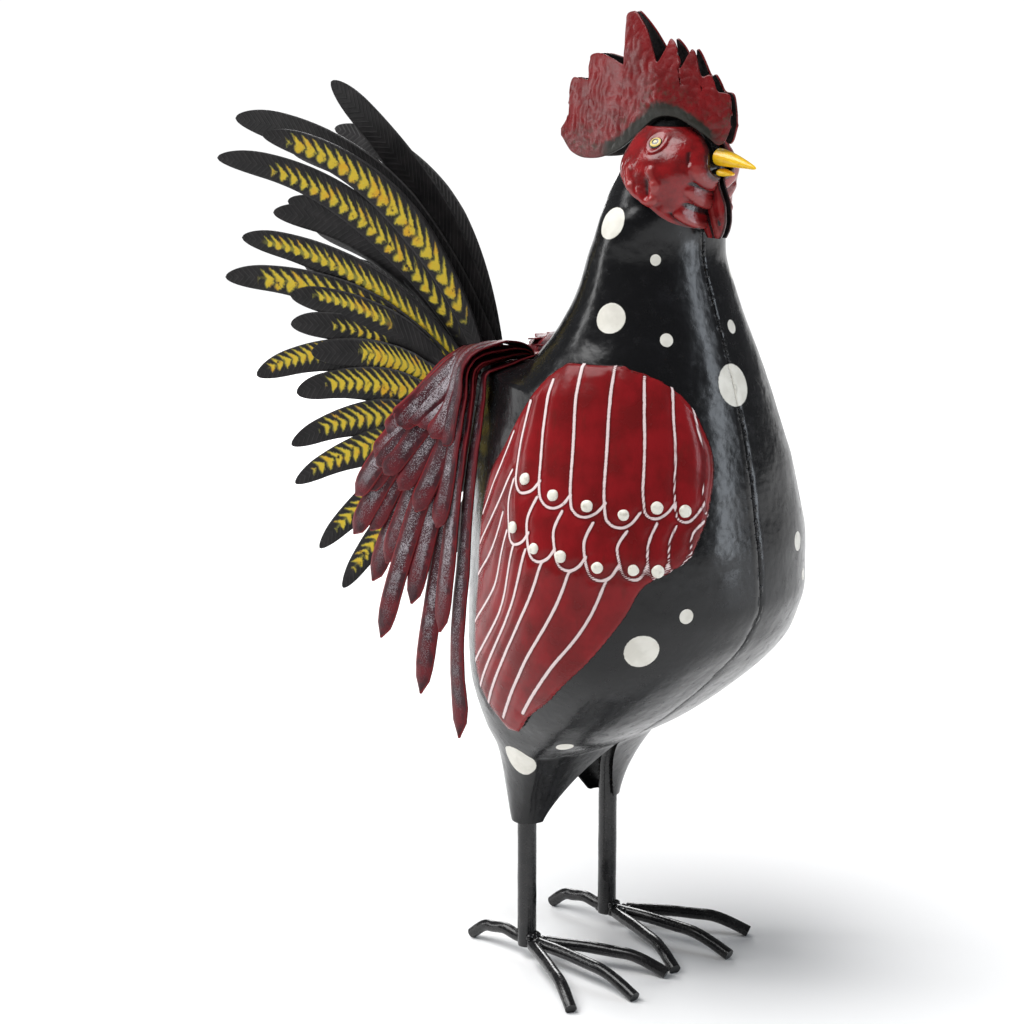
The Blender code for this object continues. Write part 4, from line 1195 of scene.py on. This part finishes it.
for name, tipAlong, tipUp, bend, side, out in sickles:
    tip = Vector((tipAlong, tipUp))
    width = tailSettings["sickleWidth"]

    def sickleOut(along, up, share):
        return out * (0.35 + 0.65 * share)

    root = tailRoot(2.0, tailSettings["sickleRoot"], tip, math.radians(bend), width)
    addFeather(f"sickle{name}", [f"sickle_{name.lower()}"], (root, tip, math.radians(bend)), width,
               tailSettings["sickleTaper"], sickleOut, side, 20 + out, 0.0, tailSettings["sickleCounts"],
               plain, [featherBlack])
print("Tail done")


# Saddle: hanging feathers in layers behind each wing, under a rough red cap
saddleSettings = {
    "rootRear": -45.0, "rootFront": -14.0, "rootOut": 13.0, "shoulder": 54.0, "fall": 8.0,
    "lead": 0.16,  # where the bend over the shoulder lies, as a share of the way to the tip
    "lift": 4.3, "pitch": 3.34, "width": 12.5, "sheet": 0.8, "crown": 0.9, "facing": 0.7,
    "roundFrom": 0.92, "ease": 1.45, "wave": 0.45, "waveSize": 16, "counts": (8, 60),
    "capCounts": (40, 60), "capWall": 1.0, "capGap": 0.9, "capBack": 4.0, "capRough": 0.9,
}
saddleTips = (  # along, out and up of each hanging tip, from the rear to the front
    (-86, 52, 262), (-95, 54, 240), (-99, 56, 219), (-88, 57, 195), (-74, 58, 168), (-48, 58, 142),
    (-24, 57, 122),
)
saddleNodes = ((0, 0), (1, 2), (2, 1), (3, 0), (4, 2), (5, 1), (6, 0))  # place in the row and layer
saddleExtras = (  # place in the row at the root and at the tip, reach, layer
    (6.0, 4.7, 0.48, 3.7), (5.4, 3.7, 0.50, 3.9), (4.8, 2.6, 0.52, 3.6), (4.0, 1.7, 0.55, 3.8),
    (3.2, 1.0, 0.60, 3.5), (2.3, 0.5, 0.66, 3.7), (1.2, 0.0, 0.70, 3.4), (5.8, 5.0, 0.68, 2.8),
    (5.1, 4.1, 0.70, 3.0), (4.3, 3.1, 0.72, 2.7), (3.4, 2.2, 0.75, 2.9), (2.6, 1.4, 0.80, 2.6),
    (1.7, 0.7, 0.85, 2.5), (0.6, 0.1, 0.80, 2.3), (5.6, 5.5, 0.86, 1.7), (4.5, 4.5, 0.88, 1.8),
    (3.5, 3.4, 0.90, 1.3), (2.5, 2.4, 0.93, 0.6), (1.5, 1.5, 0.90, 1.5),
)


def topHeight(along, out, grow):
    # where the back is as high as it gets, this far out
    low = 270.0
    high = 345.0
    for _ in range(24):
        middle = (low + high) / 2
        if halfWidth(along, middle, grow) > out:
            low = middle
        else:
            high = middle
    return (low + high) / 2


def straightPoints(points, share):
    place = min(max(share, 0.0), 1.0) * (len(points) - 1)
    i = min(int(place), len(points) - 2)
    return Vector(points[i]).lerp(Vector(points[i + 1]), place - i)


saddleStarts = {}


def saddleLine(a, s):
    # a place in the row (a) and down a feather (s), never inside the flank
    along = saddleSettings["rootRear"] + (saddleSettings["rootFront"] - saddleSettings["rootRear"]) * a
    lift = saddleSettings["lift"]
    out = saddleSettings["rootOut"]
    key = round(a, 3)
    if key not in saddleStarts:
        saddleStarts[key] = topHeight(along, out, lift)
    start = Vector((along, out, saddleStarts[key]))
    end = straightPoints(saddleTips, a)
    lead = start + (end - start) * saddleSettings["lead"]
    lead.y = saddleSettings["shoulder"]
    lead.z = start.z - saddleSettings["fall"]
    point = start * (1 - s) ** 2 + lead * 2 * s * (1 - s) + end * s * s
    flank = halfWidth(point.x, point.z, lift)
    point.y = (abs(point.y) ** 12 + flank ** 12) ** (1 / 12)
    return point


def saddlePlace(rootPlace, tipPlace, reach, layer, side, seed, upper):
    count = len(saddleTips) - 1
    first = rootPlace / count
    last = tipPlace / count
    ease = saddleSettings["ease"]
    even = 0.9  # past here the rows of the grid are evenly spaced

    def place(u, v):
        share = v ** ease if v < even else even ** ease + (v - even) * (1 - even ** ease) / (1 - even)
        s = share * reach
        a = first + (last - first) * share
        here = saddleLine(a, s)
        run = saddleLine(a, min(s + 0.01, 1.0)) - saddleLine(a, max(s - 0.01, 0.0))
        beside = saddleLine(min(a + 0.08, 1.0), s) - saddleLine(max(a - 0.08, 0.0), s)
        outward = beside.cross(run).normalized()
        if outward.y + outward.z < 0:
            outward = -outward
        outward = (outward + Vector((0, 1, 0)) * saddleSettings["facing"] * share).normalized()
        across = run.cross(outward).normalized()
        half = featherHalf(share, saddleSettings["width"], 0.0, saddleSettings["roundFrom"])
        edge = 2 * u - 1
        lift = layer * saddleSettings["pitch"]
        if upper:
            lift *= min(share / 0.15, 1.0) ** 0.5  # the upper ones rise from among the roots
        bow = saddleSettings["crown"] * min(share / 0.3, 1.0) * (1 - edge * edge)
        wave = lumpy(at(here.x, here.z, seed * 9), saddleSettings["waveSize"], seed)
        bow += saddleSettings["wave"] * wave * share
        spot = here + across * half * edge + outward * (lift + bow)
        return at(spot.x, side * spot.y, spot.z)

    return place


def saddleTags(seed):
    def tags(u, v):
        edge = 2 * u - 1
        half = featherHalf(v, saddleSettings["width"], 0.0, saddleSettings["roundFrom"])
        return {"beside": edge, "far": v, "feather": seed * 0.37, "rim": (1 - abs(edge)) * half}

    return tags


def paintSaddle():
    paint = Paint("saddleFeatherPaint", Roughness=0.36, Specular_IOR_Level=0.18)
    beside = paint.tag("beside")
    far = paint.tag("far")
    feather = paint.tag("feather")
    own = paint.node("ShaderNodeCombineXYZ", {}, feather * 7, feather * 3, feather * 11)
    where = paint.node("ShaderNodeVectorMath", {"operation": "ADD"}, paint.place(), own)
    wide = paint.lumps(10, detail=4.0, where=where)
    fine = paint.lumps(1.3, detail=4.0, where=where, rough=0.6)
    tiny = paint.lumps(0.55, detail=2.0, where=where)
    whim = (feather * 5.17).math("FRACT")
    red = paint.mix(wide.fromTo(0.35, 0.65), (0.125, 0.007, 0.012), (0.038, 0.005, 0.009))
    red = paint.mix(fine.fromTo(0.5, 0.75) * 0.5, red, (0.03, 0.012, 0.016))
    middle = (beside.math("ABSOLUTE") + (fine - 0.5) * 0.5 + (wide - 0.5) * 0.5).fromTo(0.62, 0.30)
    band = middle * far.fromTo(0.25, 0.45) * far.fromTo(1.0, 0.86)
    dark = paint.mix(band * 0.7, red, (0.028, 0.020, 0.026))
    silver = band * (tiny + (wide - 0.5) * 0.6 + (whim - 0.5) * 0.18).fromTo(0.50, 0.58)
    color = paint.mix(silver * 0.75, dark, (0.46, 0.42, 0.45))
    edge = paint.tag("rim").fromTo(1.1, 0.25) * (wide + whim * 0.3).fromTo(0.4, 0.65)
    color = paint.mix(edge * 0.7, color, (0.26, 0.018, 0.022))
    rough = 0.32 + fine * 0.2 + silver * 0.15
    return paint.feed(fine * 0.35 + silver * 0.3 + wide * 0.4, 0.6, Base_Color=color, Roughness=rough)


saddleRed = paintSaddle()
for label, cadLabel, side in sides:
    def addPlume(name, nodes, rootSpot, tipSpot, reach, layer, seed, upper=False):
        place = saddlePlace(rootSpot, tipSpot, reach, layer, side, seed, upper)
        bentSheet(name, saddleSettings["counts"], place, Vector((0, side, 0.4)), saddleSettings["sheet"],
                  nodes, [saddleRed, innerBlack], saddleTags(seed))

    for i, (spot, layer) in enumerate(saddleNodes):
        addPlume(f"saddle{label}{i + 1}", [f"saddle_{cadLabel}_{i + 1}"], spot, spot, 1.0, layer, i + 1)
    for i, (rootSpot, tipSpot, reach, layer) in enumerate(saddleExtras):
        addPlume(f"saddleUpper{label}{i + 1}", [], rootSpot, tipSpot, reach, layer, i + 11, True)


def capPlace(u, v):
    # a strip along the back, between the roots of the feathers
    rear = saddleSettings["rootRear"] + saddleSettings["capBack"]
    along = rear + (saddleSettings["rootFront"] - rear) * v
    half = saddleSettings["rootOut"] - saddleSettings["capGap"] - saddleSettings["sheet"]
    out = half * (2 * u - 1)
    up = topHeight(along, abs(out) + 1, saddleSettings["lift"])
    spot = at(along, out, up)
    return spot + Vector((0, 0, saddleSettings["capRough"] * mm * lumpy(spot, 5, 2)))


def paintCap():
    paint = Paint("capRedPaint", Roughness=0.4, Specular_IOR_Level=0.25)
    fine = paint.lumps(2.5, detail=6.0, rough=0.65)
    red = paint.mix(fine.fromTo(0.4, 0.65), (0.20, 0.014, 0.018), (0.07, 0.012, 0.014))
    red = paint.mix(fine.fromTo(0.62, 0.72) * 0.6, red, (0.35, 0.15, 0.15))
    return paint.feed(fine, 1.2, Base_Color=red)


bentSheet("saddleCap", saddleSettings["capCounts"], capPlace, Vector((0, 0, 1)), saddleSettings["capWall"],
          ["saddle_cap"], [paintCap()])
print("Saddle done")


# Stage: a pale floor, soft light and the camera, in metres, watts and degrees
stageSettings = {
    "floorHalf": 30.0, "worldColor": (0.95, 0.97, 1, 1), "worldStrength": 0.12,
    "sunStrength": 3.7, "sunSoftness": 50, "sunTurn": (18, -14, 0),
    "aim": (0.0625, 0, 0.27),
    "cameraPlace": (0.9658, -1.0032, 0.545), "cameraTurn": (77.117, 0, 43.267), "lens": 93.76,
}
lamps = (  # name, place, width, height, power, color
    ("leftStrip", (-1.3, -0.9, 0.8), 0.25, 1.3, 6, (1, 1, 1)),
    ("rearLight", (-1.2, 1.2, 0.9), 0.5, 1.2, 12, (1, 1, 1)),
    ("frontLight", (1.6, 0.9, 0.7), 0.35, 1.2, 9, (0.85, 0.92, 1)),
)


def radians(turns):
    return [math.radians(turn) for turn in turns]


def stageThing(name, data, place=(0, 0, 0), turn=(0, 0, 0)):
    thing = bpy.data.objects.new(name, data)
    thing.location = place
    thing.rotation_euler = turn
    bpy.context.scene.collection.objects.link(thing)
    return thing


floorShape = bmesh.new()
bmesh.ops.create_grid(floorShape, x_segments=1, y_segments=1, size=stageSettings["floorHalf"])
floor = pieceFromShape(floorShape, "floor")
floorPaint = Paint("floorPaint", Roughness=0.8)
floorColor = floorPaint.mix(floorPaint.lumps(400, detail=1.0), (0.90, 0.90, 0.90), (0.92, 0.92, 0.92))
floor.data.materials.append(floorPaint.feed(Base_Color=floorColor))

world = bpy.data.worlds.new("studio")
world.use_nodes = True
world.node_tree.nodes["Background"].inputs["Color"].default_value = stageSettings["worldColor"]
world.node_tree.nodes["Background"].inputs["Strength"].default_value = stageSettings["worldStrength"]
bpy.context.scene.world = world
bpy.context.scene.view_settings.view_transform = "Standard"

sun = bpy.data.lights.new("softSun", "SUN")
sun.energy = stageSettings["sunStrength"]
sun.angle = math.radians(stageSettings["sunSoftness"])
stageThing("softSun", sun, turn=radians(stageSettings["sunTurn"]))
for name, place, width, height, power, color in lamps:
    lamp = bpy.data.lights.new(name, "AREA")
    lamp.shape = "RECTANGLE"
    lamp.size = width
    lamp.size_y = height
    lamp.energy = power
    lamp.color = color
    aim = (Vector(stageSettings["aim"]) - Vector(place)).to_track_quat("-Z", "Y").to_euler()
    stageThing(name, lamp, place, aim)

view = bpy.data.cameras.new("camera")
view.lens = stageSettings["lens"]
view.sensor_width = 36.0
turn = radians(stageSettings["cameraTurn"])
bpy.context.scene.camera = stageThing("camera", view, stageSettings["cameraPlace"], turn)
print("Stage done")
